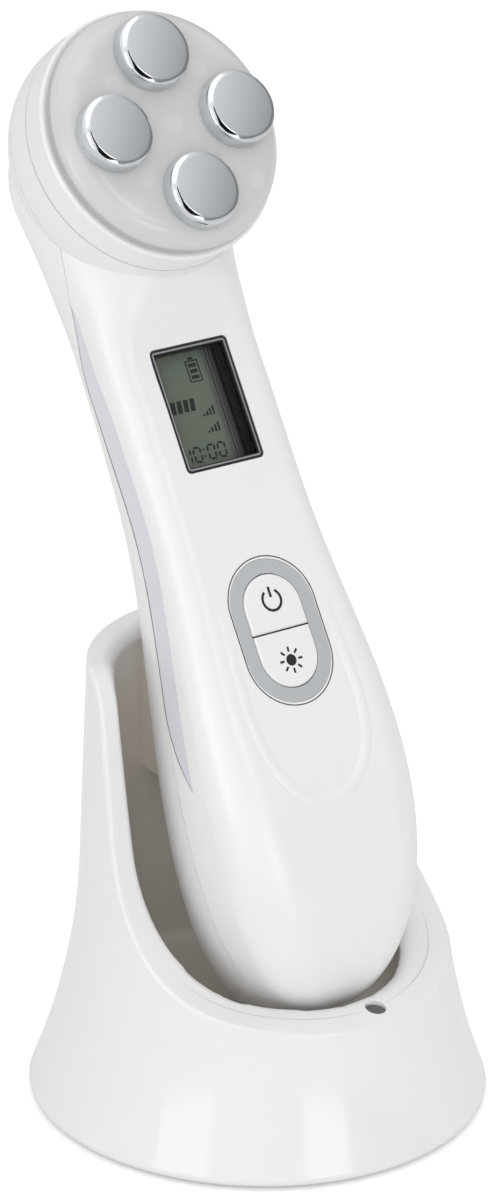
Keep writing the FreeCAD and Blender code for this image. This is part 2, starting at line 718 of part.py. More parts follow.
def in_front(shift):
    """Everything in front of the seam, moved by a distance."""
    return slab([(-REACH, SEAM_HIGH), (-REACH, SEAM_LOW)], seam_curve(shift), REACH)


def strip_leaf(grow):
    """Leaf outline of a side strip in the side view, as a prism, grown by a clearance."""
    low = d.strip_low.value - grow
    high = d.strip_high.value + grow
    rows = []
    width = d.strip_width.value
    back = []
    for i in range(SEAM_STEPS + 1):
        z = low + (high - low) * i / SEAM_STEPS
        up = min((z - low) / d.strip_low_taper.value, 1)
        down = min((high - z) / d.strip_high_taper.value, 1)
        edge = outer_grip.seam(z) - d.seam_gap.value / 2
        rows.append((edge - width * (1 - (1 - down) ** 2) - grow, z))
        back.append((edge - width * (1 - up) ** 2 + grow, z))
    return slab(back[::-1], rows, REACH)


def feature(name, shape):
    item = doc.addObject("Part::Feature", name)
    item.Shape = shape
    return item


def one_solid(shape, what):
    solids = sorted(shape.Solids, key=lambda item: item.Volume)
    if not solids:
        raise RuntimeError(what + " has no solid")
    return solids[-1]


def prism(half_width, half_height, y0, y1, z, corner):
    """Upright block with rounded corners in the front view, for openings in the shell."""
    block = Part.makeBox(2 * half_width, y1 - y0, 2 * half_height, FreeCAD.Vector(-half_width, y0, z - half_height))
    edges = [e for e in block.Edges if abs(e.tangentAt(e.FirstParameter).y) > 0.9]
    return block.makeFillet(corner, edges)


def bar(radius, length, place, way):
    return Part.makeCylinder(radius, length, FreeCAD.Vector(*place), FreeCAD.Vector(*way))


def boss_places():
    return [(side * d.boss_spread.value, z.value) for z in (d.boss_low, d.boss_high) for side in (-1, 1)]


def make_shells():
    """Front and rear shells and the two side strips."""
    wall = d.shell_wall.value
    over = d.overrun.value
    outer = form(0)
    inner = form(wall, over)
    hollow = outer.cut(inner)
    half_gap = d.seam_gap.value / 2
    front = hollow.common(in_front(-half_gap))
    rear = hollow.cut(in_front(half_gap))
    skin = outer.cut(form(d.strip_depth.value))
    strips = skin.common(strip_leaf(0))
    slot = outer.cut(form(d.strip_depth.value + d.strip_clearance.value)).common(strip_leaf(d.strip_clearance.value))
    front = front.cut(slot)
    front = one_solid(front, "front shell")
    # Openings for the display, the button surround and the inlet.
    window = prism(d.window_half_width.value, d.window_half_height.value, -over, wall + over,
                   d.display_height.value, d.window_corner.value)
    surround = prism(d.bezel_half_width.value, d.bezel_half_length.value, -over, wall + over,
                     d.button_height.value, d.bezel_half_width.value * (1 - 1e-4))
    nose = bar(d.inlet_nose_radius.value + d.inlet_nose_clearance.value, 2 * (wall + over),
               (0, INLET_DEPTH, -over), (0, 0, 1))
    front = front.cut(Part.makeCompound([window, surround, nose]))
    # Bosses that carry the main board.
    for x, z in boss_places():
        boss = bar(d.boss_radius.value, d.board_front.value - wall, (x, wall, z), BACKWARD)
        front = front.fuse(boss)
    for x, z in boss_places():
        front = front.cut(bar(d.boss_hole.value, d.board_screw_length.value, (x, d.board_front.value, z), FORWARD))
    # Locating lip of the rear shell inside the front shell.
    inset = wall + d.lip_clearance.value
    ring = form(inset).cut(form(inset + d.lip_wall.value, over))
    lip_zone = in_front(half_gap).cut(in_front(-half_gap - d.lip_height.value))
    grip_only = Part.makeBox(2 * REACH, 2 * REACH, d.board_high.value - d.cell_low.value,
                             FreeCAD.Vector(-REACH, -REACH, d.cell_low.value))
    lip = ring.common(lip_zone).common(grip_only)
    rear = one_solid(rear.fuse(lip_with_root(lip, inset, half_gap, grip_only)), "rear shell")
    rear = rear.cut(nose)
    keep("front_shell", feature("front_shell", one_solid(front, "front shell")), HANDSET)
    keep("rear_shell", feature("rear_shell", one_solid(rear, "rear shell")), HANDSET)
    for side, name in ((-1, "left"), (1, "right")):
        solid = [s for s in strips.Solids if s.CenterOfMass.x * side > 0]
        keep("side_strip_" + name, feature("side_strip_" + name, one_solid(Part.makeCompound(solid), name)), HANDSET)


def lip_with_root(lip, inset, half_gap, zone):
    """The lip with the short root behind the seam that joins it to the rear shell."""
    root = form(d.shell_wall.value / 2).cut(form(inset + d.lip_wall.value, d.overrun.value))
    behind = in_front(half_gap + d.lip_height.value).cut(in_front(half_gap))
    return lip.fuse(root.common(behind).common(zone))


INLET_DEPTH = (outer_grip.front(STATION_SHARES[0] * d.head_height.value)
               + outer_grip.back(STATION_SHARES[0] * d.head_height.value)) / 2


# Head pieces, turned about the head's axis


def make_collar():
    shell_bore = d.head_radius - d.shell_wall
    spun("head_collar", HEAD, [
        (d.collar_inner_radius, d.collar_height),
        (d.collar_radius - d.collar_edge, d.collar_height),
        (d.collar_radius, d.collar_height - d.collar_edge),
        (d.collar_radius, d.seam_gap),
        (shell_bore - d.spigot_clearance, d.seam_gap),
        (shell_bore - d.spigot_clearance, -d.spigot_length),
        (d.ledge_radius, -d.spigot_length),
        (d.ledge_radius, d.ledge_height),
        (d.collar_inner_radius, d.ledge_height),
    ])


def electrode_holes(body, radius):
    sketch = new_sketch(body, body.Name + "_holes", "XY_Plane", d.lens_front_height + d.overrun)
    circle(sketch, radius, d.electrode_circle, ZERO)
    hole = pocket(body, sketch, body.Name + "_hole")
    polar(body, hole, len(ELECTRODE_ANGLES), body.Name + "_hole_pattern")


def make_lens():
    seat = d.collar_height + d.lens_gap
    bore = d.collar_inner_radius - d.lens_clearance
    inside = bore - d.lens_wall
    lens = spun("head_lens", HEAD, [
        (ZERO, d.lens_front_height),
        (d.lens_radius - d.lens_bevel, d.lens_front_height),
        (d.lens_radius, d.lens_edge_height),
        (d.lens_radius, seat),
        (bore, seat),
        (bore, d.collar_height - d.lens_spigot_length),
        (inside, d.collar_height - d.lens_spigot_length),
        (inside, d.lens_front_height - d.lens_wall),
        (ZERO, d.lens_front_height - d.lens_wall),
    ])
    electrode_holes(lens, d.stud_radius + d.stud_clearance)


def make_light_board():
    body = new_body("light_board")
    sketch = new_sketch(body, "light_board_outline", "XY_Plane", d.ledge_height)
    circle(sketch, d.light_board_radius)
    pad(body, sketch, d.light_board_thickness, "light_board_pad")
    electrode_holes(body, d.stud_radius + d.stud_clearance)
    keep("light_board", body, HEAD)


def make_emitters():
    base = d.ledge_height + d.light_board_thickness
    straight = d.emitter_height - d.emitter_radius
    items = []
    for i in range(EMITTER_COUNT + 1):
        angle = math.radians(360 / EMITTER_COUNT * (i + 0.5))
        reach = ZERO if i == EMITTER_COUNT else d.emitter_circle
        x = reach * math.cos(angle)
        y = reach * math.sin(angle)
        stem = rod("emitter_stem_%d" % i, d.emitter_radius, straight, x, y, base)
        dome = doc.addObject("Part::Sphere", "emitter_dome_%d" % i)
        dome.Angle1 = 0
        dome.setExpression("Radius", d.emitter_radius.text)
        for axis, place in (("x", x), ("y", y), ("z", base + straight)):
            dome.setExpression("Placement.Base." + axis, place.text)
        items.append(fused("emitter_%d" % i, stem, dome))
    keep("light_emitters", group("light_emitters", items), HEAD)


def turned_about_head(angle):
    """Head frame turned so that its X axis points at one electrode."""
    return HEAD.multiply(FreeCAD.Placement(
        FreeCAD.Vector(d.electrode_circle.value * math.cos(math.radians(angle)),
                       d.electrode_circle.value * math.sin(math.radians(angle)), 0), FreeCAD.Rotation()))


def make_electrodes():
    seat = d.lens_front_height
    tail = d.ledge_height - d.nut_thickness
    for name, angle in ELECTRODE_ANGLES:
        label = "electrode_" + name
        body = spun(label, HEAD, [
            (ZERO, seat + d.electrode_height),
            (d.electrode_radius, seat + d.electrode_height),
            (d.electrode_radius, seat),
            (d.stud_radius, seat),
            (d.stud_radius, tail),
            (ZERO, tail),
        ])
        top = seat.value + d.electrode_height.value
        rounded(body, d.electrode_edge, label + "_edge", lambda e: is_ring(e, d.electrode_radius.value, top))
        keep(label, body, turned_about_head(angle))


def is_ring(edge, radius, height):
    curve = edge.Curve
    return isinstance(curve, Part.Circle) and abs(curve.Radius - radius) < 1e-4 and abs(curve.Center.z - height) < 1e-4


def make_nuts():
    items = []
    for name, angle in ELECTRODE_ANGLES:
        hexagon = doc.addObject("Part::Prism", "nut_blank_" + name)
        hexagon.Polygon = 6
        hexagon.setExpression("Circumradius", d.nut_flat_radius.text)
        hexagon.setExpression("Height", d.nut_thickness.text)
        bore = rod("nut_bore_" + name, d.stud_radius, d.nut_thickness, ZERO, ZERO, ZERO)
        nut = cut("nut_" + name, hexagon, bore)
        turn = math.radians(angle)
        for axis, place in (("x", d.electrode_circle * math.cos(turn)), ("y", d.electrode_circle * math.sin(turn)),
                            ("z", d.ledge_height - d.nut_thickness)):
            nut.setExpression("Placement.Base." + axis, place.text)
        items.append(nut)
    keep("electrode_nuts", group("electrode_nuts", items), HEAD)


# Display


def plate(body, name, back, thickness, outline):
    """Flat piece across the handset: its outline in the front view, padded forwards from its back."""
    sketch = new_sketch(body, name + "_outline", "XZ_Plane", -back)
    outline(sketch)
    return pad(body, sketch, thickness, name + "_pad")


def opening(body, name, outline):
    """Hole through a flat piece, cut from behind it."""
    sketch = new_sketch(body, name + "_outline", "XZ_Plane", ZERO)
    outline(sketch)
    return pocket(body, sketch, name, both_ways=True)


def along_depth(edge):
    return abs(edge.tangentAt(edge.FirstParameter).y) > 0.99 and isinstance(edge.Curve, Part.Line)


def make_display():
    z = d.display_height
    fit_w = d.window_half_width - d.window_clearance
    fit_h = d.window_half_height - d.window_clearance
    window = new_body("display_window")
    window_back = d.window_set_back + d.window_thickness
    plate(window, "display_window", window_back, d.window_thickness, lambda s: rectangle(s, fit_w, fit_h, z))
    rounded(window, d.window_corner, "display_window_corners", along_depth)
    keep("display_window", window, HANDSET)
    frame = new_body("display_frame")
    frame_back = d.shell_wall + d.frame_depth
    seat = d.shell_wall + d.flange_gap
    plate(frame, "display_frame_rim", seat, seat - window_back, lambda s: rectangle(s, fit_w, fit_h, z))
    rounded(frame, d.window_corner, "display_frame_corners", along_depth)
    plate(frame, "display_frame_flange", frame_back, frame_back - seat, lambda s: rectangle(
        s, d.window_half_width + d.frame_flange, d.window_half_height + d.frame_flange, z))
    opening(frame, "display_frame_opening", lambda s: rectangle(
        s, d.window_half_width - d.frame_border, d.window_half_height - d.frame_border, z))
    keep("display_frame", frame, HANDSET)
    for label, back, thickness in (
            ("display_panel", frame_back + d.panel_thickness, d.panel_thickness),
            ("display_backlight", d.board_front, d.board_front - frame_back - d.panel_thickness)):
        body = new_body(label)
        plate(body, label, back, thickness, lambda s: rectangle(
            s, d.window_half_width + d.frame_flange, d.window_half_height + d.frame_flange, z))
        keep(label, body, HANDSET)


# Buttons


def make_bezel():
    z = d.button_height
    body = new_body("button_surround")
    back = d.shell_wall + d.bezel_flange_thickness
    seat = d.shell_wall + d.flange_gap
    plate(body, "surround_flange", back, back - seat, lambda s: stadium(
        s, d.bezel_half_width + d.bezel_flange, d.bezel_half_length + d.bezel_flange, z))
    plate(body, "surround_ring", seat, seat - d.bezel_set_back, lambda s: stadium(
        s, d.bezel_half_width - d.bezel_clearance, d.bezel_half_length - d.bezel_clearance, z))
    opening(body, "surround_opening", lambda s: stadium(
        s, d.bezel_half_width - d.bezel_band, d.bezel_half_length - d.bezel_band, z))
    keep("button_surround", body, HANDSET)


def make_buttons():
    z = d.button_height
    width = d.bezel_half_width - d.bezel_band - d.button_clearance
    length = d.bezel_half_length - d.bezel_band - d.button_clearance
    split = d.button_split / 2
    flange_front = d.shell_wall + d.bezel_flange_thickness + d.button_play
    flange_back = flange_front + d.button_flange_thickness
    pusher_back = d.board_front - d.switch_height - d.plunger_stand_out
    for label, upper in (("power_button", True), ("light_button", False)):
        body = new_body(label)
        plate(body, label + "_flange", flange_back, d.button_flange_thickness, lambda s: half_stadium(
            s, width + d.button_flange, length + d.button_flange, split, z, upper))
        plate(body, label + "_cap", flange_front, flange_front + d.button_proud, lambda s: half_stadium(
            s, width, length, split, z, upper))
        rounded(body, d.button_edge, label + "_edge", lambda e: all(
            abs(v.Point.y + d.button_proud.value) < 1e-6 for v in e.Vertexes))
        centre = z + d.button_spread * (1 if upper else -1)
        plate(body, label + "_pusher", pusher_back, pusher_back - flange_back, lambda s: circle(
            s, d.pusher_radius, ZERO, centre))
        keep(label, body, HANDSET)
        plunger = rod(label + "_plunger", d.plunger_radius, d.plunger_stand_out + d.plunger_inside,
                      ZERO, pusher_back, centre, BACKWARD)
        keep(label.replace("button", "plunger"), group(label + "_plunger_node", [plunger]), HANDSET)


def make_switches():
    front = d.board_front - d.switch_height
    well = d.plunger_inside + d.button_travel + d.plunger_clearance
    items = []
    for name, way in (("upper", 1), ("lower", -1)):
        centre = d.button_height + d.button_spread * way
        block = box("switch_block_" + name, (-d.switch_half_width, d.switch_half_width), (front, d.board_front),
                    (centre - d.switch_half_width, centre + d.switch_half_width))
        bore = rod("switch_bore_" + name, d.plunger_radius + d.plunger_clearance, well + d.overrun,
                   ZERO, front - d.overrun, centre, BACKWARD)
        items.append(cut("switch_" + name, block, bore))
    keep("key_switches", group("key_switches", items), HANDSET)


# Boards, cell, inlet and ribbon


def make_main_board():
    body = new_body("main_board")
    back = d.board_front + d.board_thickness
    middle = (d.board_low + d.board_high) / 2
    plate(body, "main_board", back, d.board_thickness, lambda s: rectangle(
        s, d.board_half_width, (d.board_high - d.board_low) / 2, middle))

    def holes(sketch):
        for height in (d.boss_low, d.boss_high):
            for side in (-1, 1):
                circle(sketch, d.board_hole, d.boss_spread * side, height)

    opening(body, "main_board_holes", holes)
    keep("main_board", body, HANDSET)
    items = []
    for i, height in enumerate((d.boss_low, d.boss_high)):
        for side in (-1, 1):
            x = d.boss_spread * side
            name = "board_screw_%d_%d" % (i, side + 1)
            head = rod(name + "_head", d.board_screw_head, d.board_screw_head_height, x, back, height, BACKWARD)
            shank = rod(name + "_shank", d.board_screw_radius, d.board_screw_length - d.overrun, x, back, height, FORWARD)
            items.append(fused(name, head, shank))
    keep("board_screws", group("board_screws", items), HANDSET)


# Parts on the back of the main board: name, across and up as shares of the board, sizes as shares of its half width.
BOARD_PART_SHARES = (
    ("controller", -0.42, 0.78, 0.3, 0.3, 0.12),
    ("driver", 0.45, 0.82, 0.22, 0.17, 0.12),
    ("coil", 0.0, 0.54, 0.42, 0.42, 0.5),
    ("inductor", -0.5, 0.93, 0.25, 0.25, 0.3),
    ("ribbon_socket", 0.0, 0.965, 0.45, 0.13, 0.2),
)


def make_board_parts():
    back = d.board_front + d.board_thickness
    length = d.board_high - d.board_low
    items = []
    for name, across, up, wide, tall, thick in BOARD_PART_SHARES:
        x = d.board_half_width * across
        z = d.board_low + length * up
        w = d.board_half_width * wide
        h = d.board_half_width * tall
        items.append(box(name, (x - w, x + w), (back, back + d.board_half_width * thick), (z - h, z + h)))
    keep("board_parts", group("board_parts", items), HANDSET)


def make_cell():
    back = d.board_front + d.board_thickness
    centre = back + d.cell_pad_thickness + d.cell_radius
    raw = rod("cell_can", d.cell_radius, d.cell_length, ZERO, centre, d.cell_low)
    doc.recompute()
    can = doc.addObject("Part::Fillet", "cell_rolled")
    can.Base = raw
    rings = [i for i, e in enumerate(raw.Shape.Edges, start=1) if isinstance(e.Curve, Part.Circle)]
    can.Edges = [(i, d.cell_edge.value, d.cell_edge.value) for i in rings]
    keep("lithium_cell", group("lithium_cell", [can]), HANDSET)
    foam = box("cell_foam", (-d.cell_pad_half_width, d.cell_pad_half_width), (back, back + d.cell_pad_thickness),
               (d.board_low, d.cell_low + d.cell_length))
    keep("cell_pad", group("cell_pad", [foam]), HANDSET)


def make_inlet():
    depth = Dim(INLET_DEPTH, repr(INLET_DEPTH))
    low = Dim(STATION_SHARES[0] * d.head_height.value, repr(STATION_SHARES[0]) + " * sizes.head_height")
    floor = low + d.shell_wall
    half = d.inlet_half_width
    block = box("inlet_block", (-half, half), (depth - half, depth + half), (floor, floor + d.inlet_length))
    nose = rod("inlet_nose", d.inlet_nose_radius, d.shell_wall + d.overrun, ZERO, depth, low)
    solid = fused("inlet_solid", block, nose)
    bore = rod("inlet_bore_tool", d.inlet_bore, d.inlet_bore_depth + d.overrun, ZERO, depth, low - d.overrun)
    hollow = cut("inlet_hollow", solid, bore)
    pin = rod("inlet_pin_rod", d.inlet_pin, d.inlet_bore_depth - d.overrun, ZERO, depth, low + d.overrun)
    keep("charging_inlet", group("charging_inlet", [fused("inlet_whole", hollow, pin)]), HANDSET)


def make_ribbon():
    """Flat ribbon that bends from the main board's socket to the back of the light board."""
    to_handset = HANDSET.inverse().multiply(HEAD)
    board = to_handset.multVec(FreeCAD.Vector(0, -d.ledge_radius.value / 2, d.ledge_height.value))
    name, across, up, wide, tall, thick = BOARD_PART_SHARES[-1]
    half = d.board_half_width.value
    socket_y = d.board_front.value + d.board_thickness.value + half * thick / 2
    socket_z = d.board_low.value + (d.board_high.value - d.board_low.value) * up + half * tall
    normal = to_handset.Rotation.multVec(FreeCAD.Vector(0, 0, -1))
    rise = (board.z - socket_z) / 2
    start = FreeCAD.Vector(0, socket_y, socket_z)
    middle_point = FreeCAD.Vector(0, socket_y, socket_z + rise)
    end_point = board + normal * rise
    path = Part.BezierCurve()
    path.setPoles([start, middle_point, end_point, board])
    spine = path.toShape()
    half_width = d.ribbon_half_width.value
    half_thick = d.ribbon_thickness.value / 2
    corners = [FreeCAD.Vector(x * half_width, socket_y + y * half_thick, socket_z)
               for x, y in ((-1, -1), (1, -1), (1, 1), (-1, 1))]
    profile = Part.makePolygon(corners + corners[:1])
    solid = Part.Wire([spine]).makePipeShell([profile], True, True)
    keep("head_ribbon", feature("head_ribbon", one_solid(Part.Solid(Part.Shell(solid.Faces)), "ribbon")
                                if not solid.Solids else solid.Solids[0]), HANDSET)


# Stand


def stand_outer(z):
    """Outer radius of the stand at a height."""
    waist_z = d.stand_waist_height.value
    waist = d.stand_waist_radius.value
    if z >= waist_z:
        top = d.stand_height.value
        return waist + (d.stand_top_radius.value - waist) * (z - waist_z) / (top - waist_z)
    foot = d.stand_foot_radius.value
    share = (waist_z - z) / (waist_z - d.stand_foot_height.value)
    flare = d.stand_flare_radius.value
    full = waist_z - d.stand_foot_height.value
    sag = flare - math.sqrt(flare ** 2 - full ** 2)
    return waist + (foot - waist) * (flare - math.sqrt(flare ** 2 - (share * full) ** 2)) / sag


def vec(y, z):
    return FreeCAD.Vector(0, y, z)


def scoop_shape():
    """Everything above the rim line: two slopes, the curve between them and the rounded top corner."""
    half = 2 * d.stand_foot_radius.value
    front_angle = math.radians(d.scoop_front_angle.value)
    back_angle = math.radians(d.scoop_back_angle.value)
    front_y = -stand_outer(d.scoop_front_height.value)
    corner_y = d.scoop_corner_y.value
    corner = vec(corner_y, d.scoop_front_height.value + (corner_y - front_y) * math.tan(front_angle))
    along = vec(-math.cos(front_angle), -math.sin(front_angle))
    upward = vec(math.cos(back_angle), math.sin(back_angle))
    reach = d.scoop_round.value * math.tan((back_angle - front_angle) / 2)
    a = corner + along * reach
    b = corner + upward * reach
    bisector = (along + upward).normalize()
    turn = (back_angle - front_angle) / 2
    arc_mid = corner + bisector * (d.scoop_round.value / math.cos(turn) - d.scoop_round.value)
    top = d.stand_height.value
    top_corner = corner + upward * ((top - corner.z) / math.sin(back_angle))
    top_reach = d.scoop_top_round.value * math.tan(back_angle / 2)
    p = top_corner - upward * top_reach
    q = top_corner + vec(top_reach, 0)
    top_centre = q - vec(0, d.scoop_top_round.value)
    top_mid = top_centre + (top_corner - top_centre).normalize() * d.scoop_top_round.value
    start = corner + along * ((corner_y + half) / math.cos(front_angle))
    high = top + half
    edges = [Part.LineSegment(start, a).toShape(), Part.Arc(a, arc_mid, b).toShape(),
             Part.LineSegment(b, p).toShape(), Part.Arc(p, top_mid, q).toShape(),
             Part.LineSegment(q, vec(q.y, high)).toShape(),
             Part.LineSegment(vec(q.y, high), vec(start.y, high)).toShape(),
             Part.LineSegment(vec(start.y, high), start).toShape()]
    face = Part.Face(Part.Wire(edges))
    face.translate(FreeCAD.Vector(-half, 0, 0))
    return face.extrude(FreeCAD.Vector(2 * half, 0, 0))


def revolved(edges):
    return Part.Face(Part.Wire(edges)).revolve(FreeCAD.Vector(0, 0, 0), FreeCAD.Vector(0, 0, 1), 360)


def rz(r, z):
    return FreeCAD.Vector(r, 0, z)


def seg(*points):
    return [Part.LineSegment(a, b).toShape() for a, b in zip(points, points[1:])]


def stand_solid():
    """Outer body of revolution: flared skirt and nearly straight tube."""
    foot_z = d.stand_foot_height.value
    waist_z = d.stand_waist_height.value
    mid_z = (foot_z + waist_z) / 2
    flare = Part.Arc(rz(stand_outer(foot_z), foot_z), rz(stand_outer(mid_z), mid_z), rz(stand_outer(waist_z), waist_z))
    top = d.stand_height.value
    return revolved(seg(rz(0, foot_z), rz(stand_outer(foot_z), foot_z)) + [flare.toShape()]
                    + seg(rz(stand_outer(waist_z), waist_z), rz(d.stand_top_radius.value, top), rz(0, top), rz(0, foot_z)))


def cup_tool():
    """Round hollow that the grip stands in, with a rounded floor edge."""
    floor = d.cup_floor.value
    turn = d.cup_corner.value
    rim = d.stand_height.value
    wall_top = rz(d.cup_radius.value, rim + d.overrun.value)
    low = rz(d.cup_floor_radius.value, floor + turn)
    flat = rz(d.cup_floor_radius.value - turn, floor)
    middle = rz(d.cup_floor_radius.value - turn * (1 - math.sqrt(0.5)), floor + turn * (1 - math.sqrt(0.5)))
    return revolved(seg(rz(0, floor), flat) + [Part.Arc(flat, middle, low).toShape()]
                    + seg(low, wall_top, rz(0, wall_top.z), rz(0, floor)))


def skirt_tool():
    """Hollow under the cup's floor and behind the skirt."""
    wall = d.stand_wall.value
    low = d.stand_foot_height.value - d.overrun.value
    foot = d.stand_foot_height.value
    ceiling = d.cup_floor.value - d.cup_floor_thickness.value
    high = d.skirt_hollow_top.value
    cup = d.cup_floor_radius.value + wall
    mid_z = (foot + high) / 2
    inner = Part.Arc(rz(stand_outer(foot) - wall, foot), rz(stand_outer(mid_z) - wall, mid_z),
                     rz(stand_outer(high) - wall, high))
    return revolved(seg(rz(0, low), rz(stand_outer(foot) - wall, low), rz(stand_outer(foot) - wall, foot))
                    + [inner.toShape()]
                    + seg(rz(stand_outer(high) - wall, high), rz(cup, high), rz(cup, ceiling), rz(0, ceiling), rz(0, low)))


def post_places():
    turns = [math.radians(90 + 360 / POST_COUNT * i) for i in range(POST_COUNT)]
    return [(d.post_circle.value * math.cos(a), d.post_circle.value * math.sin(a)) for a in turns]


def handset_back_at(height):
    """How far back the handset's back reaches at a height in the stand's frame, at a rib's distance."""
    best = -d.stand_foot_radius.value
    steps = 400
    to_rib = d.rest_rib_spread.value - d.rest_rib_half_width.value
    for i in range(steps + 1):
        z = d.head_height.value * HEAD_SWELL_SHARE * i / steps
        w = outer_grip.half_width(z)
        if w <= to_rib:
            continue
        m = outer_grip.widest(z)
        y = m + (outer_grip.back(z) - m) * math.sqrt(1 - (to_rib / w) ** 2)
        place = HANDSET.multVec(FreeCAD.Vector(0, y, z))
        if abs(place.z - height) < d.head_height.value / steps:
            best = max(best, place.y)
    return best


def rest_ribs():
    """Two upright ribs inside the back wall that the handset leans on."""
    low = d.rest_rib_low.value
    high = d.rest_rib_high.value
    gap = d.rest_gap.value + d.rest_gap.value / math.cos(math.radians(d.lean_angle.value))
    wall_y = (d.cup_radius.value + d.stand_top_radius.value) / 2
    top = handset_back_at(high) + gap
    bottom = handset_back_at(low) + gap
    points = [vec(bottom, low), vec(top, high), vec(wall_y, high), vec(wall_y, low)]
    if bottom >= d.cup_radius.value:
        raise RuntimeError("the handset leans past the cup's wall")
    face = Part.Face(Part.makePolygon(points + points[:1]))
    ribs = []
    for side in (-1, 1):
        rib = face.copy()
        rib.translate(FreeCAD.Vector(side * d.rest_rib_spread.value - d.rest_rib_half_width.value, 0, 0))
        ribs.append(rib.extrude(FreeCAD.Vector(2 * d.rest_rib_half_width.value, 0, 0)))
    return ribs


def rounded_edges(shape, radius, wanted, what):
    edges = [e for e in shape.Edges if wanted(e)]
    if not edges:
        raise RuntimeError(what + " found no edge")
    return shape.makeFillet(radius, edges)


def edge_points(edge):
    return [edge.valueAt(edge.FirstParameter + (edge.LastParameter - edge.FirstParameter) * i / 4) for i in range(5)]


def on_rim(inner):
    """Test for the edges between the rim and the cup's wall, or the rim and the outside."""
    lowest = d.scoop_front_height.value - d.rim_edge.value

    def wanted(edge):
        points = edge_points(edge)
        if min(p.z for p in points) < lowest:
            return False
        slope = (d.cup_radius.value - d.cup_floor_radius.value) / (
            d.stand_height.value + d.overrun.value - d.cup_floor.value - d.cup_corner.value)
        for p in points:
            cup = d.cup_floor_radius.value + slope * (p.z - d.cup_floor.value - d.cup_corner.value)
            wall = cup if inner else stand_outer(p.z)
            if abs(math.hypot(p.x, p.y) - wall) > 0.05:
                return False
        flat = max(p.z for p in points) - min(p.z for p in points) < 1e-6
        return not flat or abs(points[0].z - d.stand_height.value) < 1e-6
    return wanted


def make_stand_shell():
    body = stand_solid().cut(scoop_shape()).cut(cup_tool())
    body = one_solid(body, "stand shell")
    body = rounded_edges(body, d.rim_edge.value, on_rim(False), "outer rim edge")
    body = rounded_edges(body, d.rim_inner_edge.value, on_rim(True), "inner rim edge")
    foot_z = d.stand_foot_height.value
    body = rounded_edges(body, d.stand_foot_edge.value,
                         lambda e: is_ring(e, stand_outer(foot_z), foot_z), "lower edge")
    body = body.cut(skirt_tool())
    ceiling = d.cup_floor.value - d.cup_floor_thickness.value
    plate_top = foot_z + d.base_thickness.value
    for x, y in post_places():
        body = body.fuse(bar(d.post_radius.value, ceiling - plate_top, (x, y, plate_top), (0, 0, 1)))
    for x, y in post_places():
        body = body.cut(bar(d.post_hole.value, d.base_screw_length.value, (x, y, plate_top), (0, 0, 1)))
    for rib in rest_ribs():
        rib.rotate(FreeCAD.Vector(0, 0, 0), FreeCAD.Vector(0, 0, 1), -d.stand_turn.value)
        body = body.fuse(rib)
    hole = bar(d.rim_hole_radius.value, d.stand_waist_height.value, (0, d.rim_hole_y.value, d.skirt_hollow_top.value
                                                                     - d.stand_wall.value), (0, 0, 1))
    body = body.cut(hole)
    keep("stand_shell", feature("stand_shell", one_solid(body, "stand shell")), STAND)


def make_base():
    foot = d.stand_foot_height
    radius = Dim(stand_outer(foot.value), "sizes.stand_foot_radius") - d.stand_wall - d.base_clearance
    plate_body = spun("base_plate", STAND, [
        (ZERO, foot), (radius, foot), (radius - d.base_thickness * BASE_TAPER_SHARE, foot + d.base_thickness),
        (ZERO, foot + d.base_thickness)])
    for name, size, depth in (
            ("head", d.base_screw_head + d.screw_clearance, d.base_screw_head_height + d.screw_clearance),
            ("shank", d.base_screw_radius + d.screw_clearance, None)):
        sketch = new_sketch(plate_body, "base_%s_holes" % name, "XY_Plane", foot)
        circle(sketch, size, ZERO, d.post_circle)
        hole = pocket(plate_body, sketch, "base_%s_hole" % name, depth)
        polar(plate_body, hole, POST_COUNT, "base_%s_pattern" % name)
    items = []
    for i, (x, y) in enumerate(post_places()):
        turn = math.radians(90 + 360 / POST_COUNT * i)
        px = d.post_circle * math.cos(turn)
        py = d.post_circle * math.sin(turn)
        seat = foot + d.base_screw_head_height + d.screw_clearance
        head = rod("base_screw_head_%d" % i, d.base_screw_head, d.base_screw_head_height, px, py,
                   seat - d.base_screw_head_height)
        shank = rod("base_screw_shank_%d" % i, d.base_screw_radius, d.base_screw_length, px, py, seat)
        items.append(fused("base_screw_%d" % i, head, shank))
    keep("base_screws", group("base_screws", items), STAND)
    pad_rod = rod("non_slip_pad_disc", d.pad_radius, foot, ZERO, ZERO, ZERO)
    keep("non_slip_pad", group("non_slip_pad", [pad_rod]), STAND)


def main():
    make_shells()
    make_collar()
    make_lens()
    make_light_board()
    make_emitters()
    make_electrodes()
    make_nuts()
    make_display()
    make_bezel()
    make_buttons()
    make_switches()
    make_main_board()
    make_board_parts()
    make_cell()
    make_inlet()
    make_ribbon()
    make_stand_shell()
    make_base()
    doc.recompute()
    for item in doc.Objects:
        if "Invalid" in item.State or "Error" in item.State:
            raise RuntimeError("failed: " + item.Label)
    for label, item in nodes.items():
        if item.Shape.isNull() or not item.Shape.isValid() or not item.Shape.Solids:
            raise RuntimeError("bad shape: " + label)
    os.makedirs("parts", exist_ok=True)
    for label, item in nodes.items():
        item.Shape.exportStep("parts/%s.step" % label)
        box_size = item.Shape.BoundBox
        print("%-20s %2d solids %10.1f mm3  x %.1f..%.1f y %.1f..%.1f z %.1f..%.1f" % (
            label, len(item.Shape.Solids), item.Shape.Volume, box_size.XMin, box_size.XMax,
            box_size.YMin, box_size.YMax, box_size.ZMin, box_size.ZMax))


main()
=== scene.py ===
"""Looks of a facial light and electrode device that leans in its round stand."""
import json
import math

import bpy
from mathutils import Matrix, Vector


